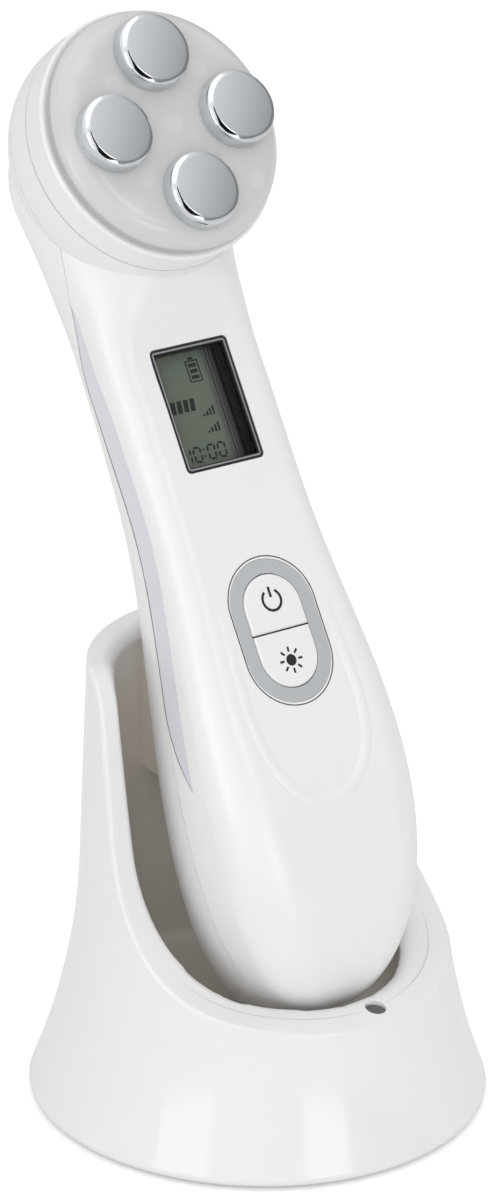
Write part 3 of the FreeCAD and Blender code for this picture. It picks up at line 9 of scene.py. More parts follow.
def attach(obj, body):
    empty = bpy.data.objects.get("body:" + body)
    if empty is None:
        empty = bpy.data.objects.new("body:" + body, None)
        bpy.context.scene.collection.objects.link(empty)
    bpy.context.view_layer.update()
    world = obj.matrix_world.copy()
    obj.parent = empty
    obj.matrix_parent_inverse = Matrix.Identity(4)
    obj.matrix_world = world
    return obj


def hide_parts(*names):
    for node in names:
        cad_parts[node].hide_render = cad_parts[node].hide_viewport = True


bl_info = {
    "name": "Facial Device Finisher",
    "version": (1, 0, 0),
    "blender": (4, 5, 0),
    "location": "View3D > Sidebar > Device",
    "description": "Dresses the packed facial device with finished pieces and procedural materials",
    "category": "Object",
}

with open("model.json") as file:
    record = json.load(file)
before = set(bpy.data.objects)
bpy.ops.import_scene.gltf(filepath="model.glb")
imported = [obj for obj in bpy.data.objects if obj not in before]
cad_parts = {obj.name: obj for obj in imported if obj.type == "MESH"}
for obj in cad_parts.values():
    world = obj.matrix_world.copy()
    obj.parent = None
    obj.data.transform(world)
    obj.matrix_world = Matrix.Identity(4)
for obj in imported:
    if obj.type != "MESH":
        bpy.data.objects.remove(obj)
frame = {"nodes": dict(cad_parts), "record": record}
NODES = frame["nodes"]
SLOTS = {row["node"]: row["material_slot"] for row in frame["record"]["subparts"]}
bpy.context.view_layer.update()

MM = 0.001
MICRON = 0.000001
ORIGIN = (0.0, 0.0, 0.0)
UP = Vector((0.0, 0.0, 1.0))
DOWN = Vector((0.0, 0.0, -1.0))
WHITE = (1.0, 1.0, 1.0, 1.0)

# Camera that was fitted to the photograph
PHOTO_HEIGHT = 1200
FOCAL_PIXELS = 5329.136
SENSOR = 36.0
CAMERA_PLACE = (-0.542990, -0.729103, 0.478083)
CAMERA_TURN = math.radians(-36.403)
CAMERA_RISE = math.radians(22.586)
CAMERA_ROLL = math.radians(1.093)
CAMERA_NEAR = 0.01

# Frames of the handset and of its head, and the turn that lays a piece on the handset's front
LEAN = math.radians(-33.4)
REST = Vector((0.0, -42.4 * MM, 37.6 * MM))
HEAD_TURN = math.radians(90.0 - 2.9)
HEAD_PLACE = Vector((0.0, -6.8 * MM, 162.2 * MM))
HANDSET = Matrix.Translation(REST) @ Matrix.Rotation(LEAN, 4, "X")
HEAD = HANDSET @ Matrix.Translation(HEAD_PLACE) @ Matrix.Rotation(HEAD_TURN, 4, "X")
FACE = Matrix.Rotation(math.radians(90.0), 4, "X")

# Inside of the stand's cup, with the warm painted shade laid in it, and the hole in its rim
CUP_RADIUS = 29.8 * MM
CUP_TOP = 88.5 * MM
CUP_FLOOR_RADIUS = 29.0 * MM
CUP_FLOOR = 18.1 * MM
# Painted shade: a warm darkening multiplied into the stand's colour inside the cup, fading in between these
# two offsets from the cup's wall
CUP_PAINTED_SHADE = (1.0, 0.95, 0.885, 1.0)
CUP_PAINTED_SHADE_START = 0.1 * MM
CUP_PAINTED_SHADE_FULL = -0.3 * MM
RIM_HOLE = Vector((3.33 * MM, -31.73 * MM, 0.0))
RIM_HOLE_RADIUS = 2.0 * MM


def tone(*levels):
    """Display levels of red, green and blue from 0 to 255 as scene-linear light, with full alpha."""
    shares = [level / 255.0 for level in levels]
    light = [share / 12.92 if share <= 0.04045 else ((share + 0.055) / 1.055) ** 2.4 for share in shares]
    return (*light, 1.0)


def ease(share):
    """A share from 0 to 1, eased at both ends."""
    share = min(max(share, 0.0), 1.0)
    return share * share * (3.0 - 2.0 * share)


def heading(angle):
    """The level direction at an angle about Z."""
    return Vector((math.cos(angle), math.sin(angle), 0.0))


def local_box(node, place):
    """Lowest and highest corner of a CAD node in the frame that place gives."""
    back = place.inverted()
    points = [back @ vertex.co for vertex in NODES[node].data.vertices]
    low = Vector([min(p[i] for p in points) for i in range(3)])
    high = Vector([max(p[i] for p in points) for i in range(3)])
    return low, high


def touch(node, start, toward):
    """Where a ray first meets a CAD node and the normal there, or None."""
    found, spot, normal, index = NODES[node].ray_cast(start, toward)
    return (spot, normal) if found else None


def landing(node, start, toward):
    """Where a ray first meets a CAD node and the normal there, which has to be found."""
    found = touch(node, start, toward)
    if found is None:
        raise RuntimeError("a ray misses " + node)
    return found


AS_COLOUR = {"subtype": "COLOR", "size": 4, "min": 0.0, "max": 1.0}


class DeviceFinish(bpy.types.PropertyGroup):
    """Colours of the device's finishes."""

    shell: bpy.props.FloatVectorProperty(
        name="Shell", description="White of the handset's shells", default=tone(237, 237, 237), **AS_COLOUR)
    stand: bpy.props.FloatVectorProperty(
        name="Stand", description="White of the stand", default=tone(238, 237, 237), **AS_COLOUR)
    button: bpy.props.FloatVectorProperty(
        name="Button", description="White of the two keys", default=tone(236, 237, 236), **AS_COLOUR)
    strip: bpy.props.FloatVectorProperty(
        name="Side strip", description="Pale lavender grey of the side strips",
        default=tone(217, 217, 225), **AS_COLOUR)
    lens: bpy.props.FloatVectorProperty(
        name="Lens", description="Milky grey of the light head's lens",
        default=tone(208, 209, 209), **AS_COLOUR)
    chrome: bpy.props.FloatVectorProperty(
        name="Chrome", description="Tint of the polished electrodes",
        default=tone(219, 223, 227), **AS_COLOUR)
    silver: bpy.props.FloatVectorProperty(
        name="Silver", description="Tint of the satin key surround", default=tone(216, 220, 223), **AS_COLOUR)
    frame_black: bpy.props.FloatVectorProperty(
        name="Frame", description="Black of the display's frame", default=tone(30, 30, 31), **AS_COLOUR)
    display: bpy.props.FloatVectorProperty(
        name="Display", description="Grey green of the unlit display",
        default=tone(121, 126, 118), **AS_COLOUR)
    ink: bpy.props.FloatVectorProperty(
        name="Display ink", description="Dark grey of the display's segments",
        default=tone(16, 18, 17), **AS_COLOUR)
    floor: bpy.props.FloatVectorProperty(
        name="Floor", description="White of the studio floor", default=tone(240, 240, 240), **AS_COLOUR)


class DeviceSizes(bpy.types.PropertyGroup):
    """Sizes of the pieces that are modelled here."""

    electrode_edge: bpy.props.FloatProperty(
        name="Electrode edge", description="Width of the bevel along an electrode's face",
        unit="LENGTH", default=1.0 * MM)
    electrode_fall: bpy.props.FloatProperty(
        name="Electrode fall", description="Depth of the bevel along an electrode's face",
        unit="LENGTH", default=1.15 * MM)
    electrode_dome: bpy.props.FloatProperty(
        name="Electrode dome", description="Rise of an electrode's face at its middle",
        unit="LENGTH", default=0.40 * MM)
    ridge_height: bpy.props.FloatProperty(
        name="Ridge height", description="Rise of the soft ridge round the keys",
        unit="LENGTH", default=0.20 * MM)
    # Painted shade: width of the dark line that stands in for the shade in the gap round the key surround
    shade_line_width: bpy.props.FloatProperty(
        name="Shade line width", description="Width of the dark line round the key surround",
        unit="LENGTH", default=0.2 * MM)
    sign_thickness: bpy.props.FloatProperty(
        name="Sign thickness", description="Thickness of the ink signs", unit="LENGTH", default=0.04 * MM)


class StageSettings(bpy.types.PropertyGroup):
    """Strengths of the studio light."""

    key_power: bpy.props.FloatProperty(
        name="Key", description="Power of the soft lamp at the upper left", unit="POWER", default=2.0)
    fill_power: bpy.props.FloatProperty(
        name="Fill", description="Power of the soft lamp at the right", unit="POWER", default=1.0)
    top_power: bpy.props.FloatProperty(
        name="Top", description="Power of the soft lamp overhead", unit="POWER", default=1.6)
    low_power: bpy.props.FloatProperty(
        name="Low", description="Power of the soft lamp near the floor", unit="POWER", default=2.2)
    strip_level: bpy.props.FloatProperty(
        name="Strips", description="Brightness of the upright cards that gloss shows", default=2.8)
    card_level: bpy.props.FloatProperty(
        name="Cards", description="Brightness of the upper cards that gloss shows", default=1.5)
    room: bpy.props.FloatProperty(
        name="Room", description="Plain light from all around", default=0.80)


# Materials

def feed(tree, node, into, source):
    """Links an input to an output, or sets its value."""
    if isinstance(source, bpy.types.NodeSocket):
        tree.links.new(source, node.inputs[into])
    else:
        node.inputs[into].default_value = source


def add_node(tree, kind, inputs=None, **settings):
    """Adds a node with its settings, and feeds its inputs by name or place."""
    node = tree.nodes.new(kind)
    for key, value in settings.items():
        setattr(node, key, value)
    for into, source in (inputs or {}).items():
        feed(tree, node, into, source)
    return node


def maths(tree, operation, *values, clamp=False):
    """The result of a math node."""
    node = add_node(tree, "ShaderNodeMath", dict(enumerate(values)), operation=operation, use_clamp=clamp)
    return node.outputs[0]


def vector_maths(tree, operation, *values, out="Vector"):
    """The result of a vector math node."""
    node = add_node(tree, "ShaderNodeVectorMath", dict(enumerate(values)), operation=operation)
    return node.outputs[out]


def mix(tree, share, first, second, blend="MIX"):
    """The colour that lies a share of the way from the first to the second."""
    node = add_node(tree, "ShaderNodeMix", {0: share, 6: first, 7: second},
                    data_type="RGBA", blend_type=blend)
    return node.outputs[2]


def mix_values(tree, share, first, second):
    """The value that lies a share of the way from the first to the second."""
    return add_node(tree, "ShaderNodeMix", {0: share, 2: first, 3: second}, data_type="FLOAT").outputs[0]


def soft_step(tree, value, start, end):
    """A mask that climbs softly from 0 at start to 1 at end."""
    node = add_node(tree, "ShaderNodeMapRange", {"Value": value, "From Min": start, "From Max": end},
                    interpolation_type="SMOOTHSTEP")
    return node.outputs[0]


def noise(tree, place, scale, detail):
    """An even noise over the piece."""
    node = add_node(tree, "ShaderNodeTexNoise", {"Vector": place, "Scale": scale, "Detail": detail})
    return node.outputs["Fac"]


def object_place(tree):
    """The piece's own coordinates."""
    return tree.nodes.new("ShaderNodeTexCoord").outputs["Object"]


CLOUD_SCALE = 38.0
SMEAR_SCALE = 130.0


def moulded_group():
    """Cloudy tone, uneven gloss and fine skin of moulded plastic."""
    found = bpy.data.node_groups.get("moulded_skin")
    if found:
        return found
    tree = bpy.data.node_groups.new("moulded_skin", "ShaderNodeTree")
    value, colour = "NodeSocketFloat", "NodeSocketColor"
    for label, kind, default in (("Colour", colour, (0.8, 0.8, 0.8, 1.0)), ("Cloud", value, 0.03),
                                 ("Gloss", value, 0.2), ("Uneven", value, 0.06), ("Skin", value, 1500.0)):
        socket = tree.interface.new_socket(name=label, in_out="INPUT", socket_type=kind)
        socket.default_value = default
    for label, kind in (("Colour", colour), ("Roughness", value), ("Height", value)):
        tree.interface.new_socket(name=label, in_out="OUTPUT", socket_type=kind)
    given = tree.nodes.new("NodeGroupInput").outputs
    made = tree.nodes.new("NodeGroupOutput")
    place = object_place(tree)
    cloud = maths(tree, "SUBTRACT", noise(tree, place, CLOUD_SCALE, detail=3.0), 0.5)
    shade = maths(tree, "MULTIPLY_ADD", cloud, given["Cloud"], 1.0)
    shaded = add_node(tree, "ShaderNodeVectorMath", {0: given["Colour"], "Scale": shade}, operation="SCALE")
    smear = maths(tree, "SUBTRACT", noise(tree, place, SMEAR_SCALE, detail=4.0), 0.5)
    gloss = maths(tree, "MULTIPLY_ADD", smear, given["Uneven"], given["Gloss"], clamp=True)
    skin = noise(tree, place, given["Skin"], detail=2.0)
    for label, source in (("Colour", shaded.outputs[0]), ("Roughness", gloss), ("Height", skin)):
        feed(tree, made, label, source)
    return tree


def ready(name):
    """A finish that is already made, apart from the plain one that came with the frame."""
    return bpy.data.materials.get("finish_" + name)


def bare_material(name):
    """A new material and its empty node tree."""
    material = bpy.data.materials.new(name)
    material.use_nodes = True
    material.node_tree.nodes.clear()
    return material, material.node_tree


def set_shader(material, inputs):
    """Sets or links inputs of a material's shader."""
    tree = material.node_tree
    for into, source in inputs.items():
        feed(tree, tree.nodes["Principled BSDF"], into, source)
    return material


def skin_colour(material):
    """The clouded colour that a moulded material starts from."""
    return material.node_tree.nodes["Group"].outputs["Colour"]


GLOW_RADIUS = (4.0 * MM, 4.0 * MM, 4.0 * MM)
COAT_ROUGHNESS = 0.08


def moulded(name, colour, gloss, cloud=0.03, uneven=0.06, skin=1500.0, depth=10.0, coat=0.0, glow=0.0):
    """A moulded plastic of one colour, with its gloss and a skin whose depth is in microns."""
    if ready(name):
        return ready(name)
    material, tree = bare_material("finish_" + name)
    shader = tree.nodes.new("ShaderNodeBsdfPrincipled")
    add_node(tree, "ShaderNodeOutputMaterial", {"Surface": shader.outputs["BSDF"]})
    surface = add_node(
        tree, "ShaderNodeGroup",
        {"Colour": colour, "Cloud": cloud, "Gloss": gloss, "Uneven": uneven, "Skin": skin},
        node_tree=moulded_group()).outputs
    set_shader(material, {"Base Color": surface["Colour"], "Roughness": surface["Roughness"],
                          "Coat Weight": coat, "Coat Roughness": COAT_ROUGHNESS})
    if depth:
        bump = add_node(tree, "ShaderNodeBump",
                        {"Strength": 1.0, "Distance": depth * MICRON, "Height": surface["Height"]})
        set_shader(material, {"Normal": bump.outputs["Normal"]})
    if glow:
        set_shader(material, {"Subsurface Weight": glow, "Subsurface Radius": GLOW_RADIUS,
                              "Subsurface Scale": 1.0})
    return material


def plated(name, colour, gloss, uneven, skin, depth, cloud=0.02):
    """A metal finish with faint polishing marks."""
    return set_shader(moulded(name, colour, gloss, cloud, uneven, skin, depth), {"Metallic": 1.0})


EMITTER_RINGS = (13.2 * MM, 19.4 * MM)
EMITTER_OUTER = 2.4 * MM
EMITTER_INNER = 1.5 * MM
EMITTER_SHARE = 0.14
LENS_GLOW_RADIUS = (6.0 * MM, 6.0 * MM, 6.0 * MM)
LENS_LIT = tone(232, 234, 236)
# Painted shade of the groove at the collar, laid on the lens's side wall within these distances of its edge
LENS_SHADE = tone(176, 177, 177)
LENS_SHADE_OUTER = 0.01 * MM
LENS_SHADE_INNER = 0.16 * MM


def emitter_spots():
    """Places of the lights under the lens: one in the middle and two rings of four."""
    front = local_box("head_lens", HEAD)[1].z * UP
    spots = [HEAD @ front]
    for reach in EMITTER_RINGS:
        spots += [HEAD @ (reach * heading(math.radians(45.0 + 90.0 * turn)) + front) for turn in range(4)]
    return spots


def lens_wall_shade_mask(tree, place):
    """Mask of the painted shade on the lens's side wall, by its distance from the head's axis."""
    out = vector_maths(tree, "SUBTRACT", place, HEAD.translation)
    aside = vector_maths(tree, "CROSS_PRODUCT", out, HEAD.to_3x3() @ UP)
    away = vector_maths(tree, "LENGTH", aside, out="Value")
    radius = local_box("head_lens", HEAD)[1].x
    return soft_step(tree, away, radius - LENS_SHADE_INNER, radius - LENS_SHADE_OUTER)


def lens_material(finish):
    """Milky plastic with the lights behind it showing as faint paler spots, and painted shade on its side
    wall by the groove at the collar.
    """
    material = moulded("milky_lens", finish.lens, 0.24, cloud=0.05, uneven=0.05, skin=900.0,
                       coat=0.25, glow=0.35)
    tree = material.node_tree
    place = object_place(tree)
    lights = 0.0
    for spot in emitter_spots():
        away = vector_maths(tree, "DISTANCE", place, spot, out="Value")
        lights = maths(tree, "MAXIMUM", lights, soft_step(tree, away, EMITTER_OUTER, EMITTER_INNER))
    weight = maths(tree, "MULTIPLY", lights, EMITTER_SHARE)
    paler = mix(tree, weight, skin_colour(material), LENS_LIT)
    # Painted shade: the lens's side wall is darkened for the groove at the collar
    shaded = mix(tree, lens_wall_shade_mask(tree, place), paler, LENS_SHADE)
    return set_shader(material, {"Base Color": shaded, "Subsurface Radius": LENS_GLOW_RADIUS,
                                 "Coat Roughness": 0.1})


# Shares of the display's width where its streaks and its black band of painted shade begin and are full, and
# their tones; the black band stands in for the shaded inner wall of the window's recess
DISPLAY_STREAKS = (0.68, 0.79)
DISPLAY_SHADE_BAND = (0.82, 0.86)
DISPLAY_TINTS = ((1.16, 1.06, 1.0, 1.0), (0.96, 1.10, 1.04, 1.0))
DISPLAY_TINT_SCALE = 170.0
STREAK_TONES = (tone(6, 6, 6), tone(118, 118, 115))
STREAK_SCALE = 2600.0
SHADE_BAND_TONE = tone(10, 10, 10)
WINDOW_TINT = (0.92, 0.95, 0.94, 1.0)


def display_material(finish):
    """Grey-green display with dark streaks and a black band of painted shade along its right edge, where the
    window's recess wall lies in shade.
    """
    material = moulded("display_glass", finish.display, 0.3, cloud=0.25, uneven=0.05, skin=4000.0, depth=2.0)
    tree = material.node_tree
    place = object_place(tree)
    across = add_node(tree, "ShaderNodeSeparateXYZ", {"Vector": place}).outputs["X"]
    low, high = local_box("display_panel", HANDSET)
    streaks, shade_band_mask = [soft_step(tree, across, *[low.x + share * (high.x - low.x) for share in shares])
                      for shares in (DISPLAY_STREAKS, DISPLAY_SHADE_BAND)]
    tint = mix(tree, noise(tree, place, DISPLAY_TINT_SCALE, detail=1.0), *DISPLAY_TINTS)
    glass = mix(tree, 1.0, skin_colour(material), tint, "MULTIPLY")
    streak = add_node(tree, "ShaderNodeTexNoise", {"W": across, "Scale": STREAK_SCALE, "Detail": 1.0},
                      noise_dimensions="1D")
    lines = mix(tree, streak.outputs["Fac"], *STREAK_TONES)
    # Painted shade: the black band darkens the display's right edge for the shaded recess wall
    shade_band = mix(tree, shade_band_mask, lines, SHADE_BAND_TONE)
    shown = mix(tree, streaks, glass, shade_band)
    return set_shader(material, {"Base Color": shown, "Specular IOR Level": 0.08})


def window_material():
    """Clear acrylic with a faint uneven gloss."""
    material = moulded("clear_window", WINDOW_TINT, 0.04, cloud=0.02, uneven=0.03, depth=0.0)
    return set_shader(material, {"Transmission Weight": 1.0, "IOR": 1.2})


def stand_material(finish):
    """Glossy white plastic with a warm painted shade inside the cup, standing in for the shade and the warm
    light bounced from wall to wall there.
    """
    material = moulded("white_stand", finish.stand, 0.11, uneven=0.04)
    tree = material.node_tree
    flat = vector_maths(tree, "MULTIPLY", object_place(tree), (1.0, 1.0, 0.0))
    away = vector_maths(tree, "LENGTH", flat, out="Value")
    inside = soft_step(tree, away, CUP_RADIUS + CUP_PAINTED_SHADE_START, CUP_RADIUS + CUP_PAINTED_SHADE_FULL)
    # Painted shade: the base colour turns warmer and darker inside the cup's radius
    painted_cup_shade = mix(tree, inside, skin_colour(material), CUP_PAINTED_SHADE, "MULTIPLY")
    return set_shader(material, {"Base Color": painted_cup_shade})


def slot_materials(finish):
    """A finished material for each of the record's slots, and for the looks that share a slot."""
    made = (
        moulded("white_shell", finish.shell, 0.33, coat=0.12),
        moulded("white_button", finish.button, 0.34, skin=2600.0, depth=20.0),
        moulded("side_strip", finish.strip, 0.30, cloud=0.06, coat=0.2),
        ready("milky_lens") or lens_material(finish),
        plated("electrode", finish.chrome, 0.07, uneven=0.05, skin=2200.0, depth=2.0),
        plated("silver_trim", finish.silver, 0.38, uneven=0.08, skin=5200.0, depth=12.0),
        plated("bezel_line", tone(178, 180, 182), 0.30, uneven=0.2, skin=3200.0, depth=10.0, cloud=0.2),
        ready("clear_window") or window_material(),
        moulded("black_frame", finish.frame_black, 0.22, cloud=0.12),
        ready("display_glass") or display_material(finish),
        moulded("display_ink", finish.ink, 0.3, cloud=0.15),
        moulded("light_guide", tone(228, 232, 228), 0.35),
        moulded("circuit_board", tone(20, 98, 58), 0.35, cloud=0.25),
        moulded("white_board", tone(235, 235, 230), 0.45, cloud=0.05),
        moulded("component", tone(38, 38, 40), 0.45, cloud=0.2),
        moulded("emitter", tone(235, 236, 240), 0.12, cloud=0.04, glow=0.3),
        moulded("cell_sleeve", tone(64, 100, 160), 0.32, cloud=0.08),
        moulded("foam", tone(58, 58, 58), 0.85, cloud=0.3, skin=700.0, depth=200.0),
        plated("steel", tone(196, 196, 198), 0.28, uneven=0.1, skin=1800.0, depth=4.0),
        moulded("ribbon", tone(214, 156, 74), 0.4, cloud=0.1),
        ready("white_stand") or stand_material(finish),
        moulded("stand_lip", finish.stand, 0.2),
        moulded("strip_seam", tone(104, 104, 110), 0.5),
        moulded("rim_seam", tone(205, 204, 203), 0.4),
        # Painted shade: the dark plug in the rim's hole stands in for the shade inside the hole
        moulded("rim_plug", tone(92, 91, 88), 0.5, cloud=0.2),
        moulded("grey_pad", tone(150, 150, 152), 0.8, cloud=0.12, skin=900.0, depth=60.0),
    )
    return {material.name.removeprefix("finish_"): material for material in made}


# Modelling

WELD = 1.0 * MICRON
FINE_WELD = 0.1 * MICRON
SHADING_WEIGHT = 60
CORNER_STEPS = 8
GRID_DIGITS = 6


def clear_selection():
    """Leaves edit mode and deselects everything."""
    if bpy.context.object and bpy.context.object.mode != "OBJECT":
        bpy.ops.object.mode_set(mode="OBJECT")
    bpy.ops.object.select_all(action="DESELECT")


def take(piece):
    """Makes a piece the only selected and active object."""
    clear_selection()
    piece.select_set(True)
    bpy.context.view_layer.objects.active = piece


def pick_all():
    """Selects everything in edit mode."""
    bpy.ops.mesh.select_all(action="SELECT")


def edit(piece):
    """Opens a piece in edit mode with everything selected."""
    take(piece)
    bpy.ops.object.mode_set(mode="EDIT")
    pick_all()


def pick(piece, test):
    """Opens a piece in edit mode with the vertices selected whose place passes a test."""
    edit(piece)
    bpy.ops.mesh.select_all(action="DESELECT")
    bpy.ops.object.mode_set(mode="OBJECT")
    for vertex in piece.data.vertices:
        vertex.select = test(vertex.co)
    bpy.ops.object.mode_set(mode="EDIT")


def added(add, **values):
    """Adds an object with everything else deselected."""
    clear_selection()
    add(**values)
    return bpy.context.object


def begin(add, **values):
    """Adds a primitive with everything else deselected, and opens it in edit mode."""
    piece = added(add, **values)
    edit(piece)
    return piece


def close_up():
    """Turns every face outward and goes back to object mode."""
    pick_all()
    bpy.ops.mesh.normals_make_consistent(inside=False)
    bpy.ops.object.mode_set(mode="OBJECT")


def thicken(step):
    """Draws out what is selected by a step, which closes the piece."""
    bpy.ops.mesh.extrude_region_move(TRANSFORM_OT_translate={"value": step})
    close_up()


def settle(piece, name, place, body, slot, stands_for=(), look=None):
    """Puts a finished piece in its place, applies it and hands it to its body."""
    piece.name = name
    piece.data.name = name
    piece.matrix_world = place
    take(piece)
    bpy.ops.object.transform_apply(location=True, rotation=True, scale=True)
    materials = slot_materials(bpy.context.scene.device_finish)
    piece.data.materials.clear()
    piece.data.materials.append(materials[look or slot])
    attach(piece, body)
    if stands_for:
        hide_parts(*stands_for)


def smooth(piece, degrees):
    """Shades a piece smooth below an angle, with large faces kept flat."""
    take(piece)
    bpy.ops.object.shade_smooth_by_angle(angle=math.radians(degrees), keep_sharp_edges=True)
    weighted = piece.modifiers.new("even_shading", "WEIGHTED_NORMAL")
    weighted.keep_sharp = True
    weighted.weight = SHADING_WEIGHT
    bpy.ops.object.modifier_apply(modifier=weighted.name)


def copies(piece, count):
    """The piece and copies of it, each with its own mesh."""
    made = [piece]
    while len(made) < count:
        take(piece)
        bpy.ops.object.duplicate(linked=False)
        made.append(bpy.context.object)
    return made


def lathe(profile, steps):
    """A turned piece about Z from (radius, height) points that end on the axis or meet each other."""
    piece = begin(bpy.ops.mesh.primitive_plane_add, size=1.0 * MM)
    bpy.ops.mesh.merge(type="CENTER")
    radius, height = profile[0]
    bpy.ops.transform.translate(value=(radius, 0.0, height))
    for after in profile[1:]:
        step = (after[0] - radius, 0.0, after[1] - height)
        bpy.ops.mesh.extrude_region_move(TRANSFORM_OT_translate={"value": step})
        radius, height = after
    pick_all()
    bpy.ops.mesh.spin(steps=steps, angle=2.0 * math.pi, center=ORIGIN, axis=UP)
    pick_all()
    bpy.ops.mesh.remove_doubles(threshold=WELD)
    close_up()
    return piece


def curve_through(corner, start, end, steps):
    """Points of a soft turn from start to end in (radius, height), drawn towards a corner."""
    points = []
    for i in range(steps + 1):
        t = i / steps
        points.append(tuple((1.0 - t) ** 2 * start[k] + 2.0 * t * (1.0 - t) * corner[k] + t * t * end[k]
                            for k in range(2)))
    return points


def bars_piece(bars, thickness):
    """Flat bars as one thin piece in the XY plane, each (x, y, width, height, turn in degrees)."""
    piece = begin(bpy.ops.mesh.primitive_plane_add, size=1.0)
    bpy.ops.mesh.delete(type="VERT")
    for x, y, width, height, turn in bars:
        centre = (x, y, 0.0)
        bpy.ops.mesh.primitive_plane_add(size=1.0, location=centre)
        bpy.ops.transform.resize(value=(width, height, 1.0), center_override=centre)
        if turn:
            bpy.ops.transform.rotate(value=-math.radians(turn), orient_axis="Z", center_override=centre)
    pick_all()
    thicken((0.0, 0.0, thickness))
    return piece


def ring_piece(half_width, half_height, corner, width, thickness):
    """A flat ring round a rectangle with round corners, in the XY plane."""
    piece = begin(bpy.ops.mesh.primitive_plane_add, size=2.0)
    bpy.ops.transform.resize(value=(half_width, half_height, 1.0), center_override=ORIGIN)
    bpy.ops.mesh.bevel(affect="VERTICES", offset=corner, segments=CORNER_STEPS)
    pick_all()
    bpy.ops.mesh.inset(thickness=width)
    bpy.ops.mesh.delete(type="FACE")
    pick_all()
    thicken((0.0, 0.0, thickness))
    return piece


def grid_through(rows, across):
    """A grid drawn through rows of points; a row that is shorter than the grid starts over."""
    piece = added(bpy.ops.mesh.primitive_grid_add, x_subdivisions=across - 1, y_subdivisions=len(rows) - 1,
                  size=1.0)
    order = []
    for axis in (0, 1):
        places = sorted({round(vertex.co[axis], GRID_DIGITS) for vertex in piece.data.vertices})
        order.append({place: i for i, place in enumerate(places)})
    for vertex in piece.data.vertices:
        row = rows[order[1][round(vertex.co.y, GRID_DIGITS)]]
        vertex.co = row[order[0][round(vertex.co.x, GRID_DIGITS)] % len(row)]
    return piece


def sweep(rows):
    """A closed piece drawn through rows of points, each row one section."""
    piece = grid_through(rows, len(rows[0]) + 1)
    edit(piece)
    bpy.ops.mesh.remove_doubles(threshold=FINE_WELD)
    bpy.ops.mesh.fill_holes(sides=0)
    close_up()
    return piece


LINE_RISE = 0.02 * MM
FRONT_PROBE = -50.0 * MM


def line_section(spot, normal, aside, depth):
    """Corners of a fine line's section on a surface, sunk into it by a depth."""
    low, high = -normal * depth, normal * LINE_RISE
    return [spot - aside + low, spot - aside + high, spot + aside + high, spot + aside + low]


def on_front(x, z, rise):
    """The point of the front shell at handset X and Z, raised out of it."""
    toward = (HANDSET.to_3x3() @ Vector((0.0, 1.0, 0.0))).normalized()
    spot, normal = landing("front_shell", HANDSET @ Vector((x, FRONT_PROBE, z)), toward)
    return HANDSET.inverted() @ spot + Vector((0.0, -rise, 0.0))


def face_seat(node):
    """Middle of a node's front face on the handset, with Z out of the face."""
    low, high = local_box(node, HANDSET)
    middle = (low + high) / 2.0
    return HANDSET @ Matrix.Translation((middle.x, low.y, middle.z)) @ FACE


CAP_STEPS = 96
CAP_FOOT = 0.4 * MM
CAP_FOOT_INSET = 0.25 * MM
CAP_FOOT_TOP = 0.1 * MM
DOME_STEPS = 12

# Slope of an electrode's bevel, and its lower and upper turn in shares of its width
BEVEL_SLOPE = 0.5
LOW_TURN_CORNER, LOW_TURN_END, LOW_TURN_STEPS = 0.08, 0.4, 8
HIGH_TURN_START, HIGH_TURN_END, HIGH_TURN_RISE, HIGH_TURN_STEPS = 0.8, 1.15, 0.015, 5


class DEVICE_OT_electrodes(bpy.types.Operator):
    """Turn one polished electrode and set it and its copies into the lens"""

    bl_idname = "device.electrodes"
    bl_label = "Electrodes"

    def execute(self, context):
        lens_top = local_box("head_lens", HEAD)[1].z
        boxes = {place: local_box("electrode_" + place, HEAD) for place in ("top", "left", "bottom", "right")}
        low, high = boxes["top"]
        profile = self.profile(context.scene.device_sizes, (high.x - low.x) / 2.0, high.z - lens_top)
        cap = lathe(profile, CAP_STEPS)
        smooth(cap, degrees=50.0)
        for piece, (place, (low, high)) in zip(copies(cap, len(boxes)), boxes.items()):
            centre = (low + high) / 2.0
            seat = HEAD @ Matrix.Translation((centre.x, centre.y, lens_top))
            settle(piece, "electrode_cap_" + place, seat, "handset", "electrode", ("electrode_" + place,))
        return {"FINISHED"}

    def profile(self, sizes, radius, top):
        """Half section of a cap: a sunk foot, a straight side, a bevel and a slightly domed face."""
        edge = sizes.electrode_edge
        face = top - sizes.electrode_dome

        def bevel(share):
            """A point of the bevel, by its share of the way in."""
            return (radius - share * edge, face - BEVEL_SLOPE * (1.0 - share) * edge)

        points = [(0.0, -CAP_FOOT), (radius - CAP_FOOT_INSET, -CAP_FOOT), (radius, -CAP_FOOT_TOP)]
        start = (radius, face - sizes.electrode_fall)
        points += curve_through(bevel(LOW_TURN_CORNER), start, bevel(LOW_TURN_END), LOW_TURN_STEPS)
        end = (radius - HIGH_TURN_END * edge, face + HIGH_TURN_RISE * edge)
        points += curve_through(bevel(1.0), bevel(HIGH_TURN_START), end, HIGH_TURN_STEPS)
        reach, height = points[-1]
        for i in reversed(range(DOME_STEPS)):
            share = i / DOME_STEPS
            points.append((reach * share, top - (top - height) * share * share))
        return points


LENS_STEPS = 128
LENS_WALL = 2.0 * MM
LENS_BORE_INSET = 1.95 * MM
LENS_SEAT_RISE = 0.5 * MM
LENS_FOOT_EDGE = 0.2 * MM
LENS_SIDE_START = 0.6 * MM

# Points of the lens's two soft turns, by the way in from its edge and down from its front
LENS_SIDE_CORNER, LENS_SIDE_END = (0.0, 2.7 * MM), (0.8 * MM, 1.85 * MM)
LENS_FRONT_START, LENS_FRONT_CORNER, LENS_FRONT_END = (1.6 * MM, 1.12 * MM), (2.9 * MM, 0.0), (4.8 * MM, 0.0)
LENS_TURN_STEPS = 8

# The dark ring of painted shade in the seam behind the collar, by its insets from the collar's edge and its
# two heights
SEAM_SHADE_INNER_INSET, SEAM_SHADE_OUTER_INSET = 0.6 * MM, 0.04 * MM
SEAM_SHADE_NEAR, SEAM_SHADE_FAR = 0.03 * MM, 0.12 * MM


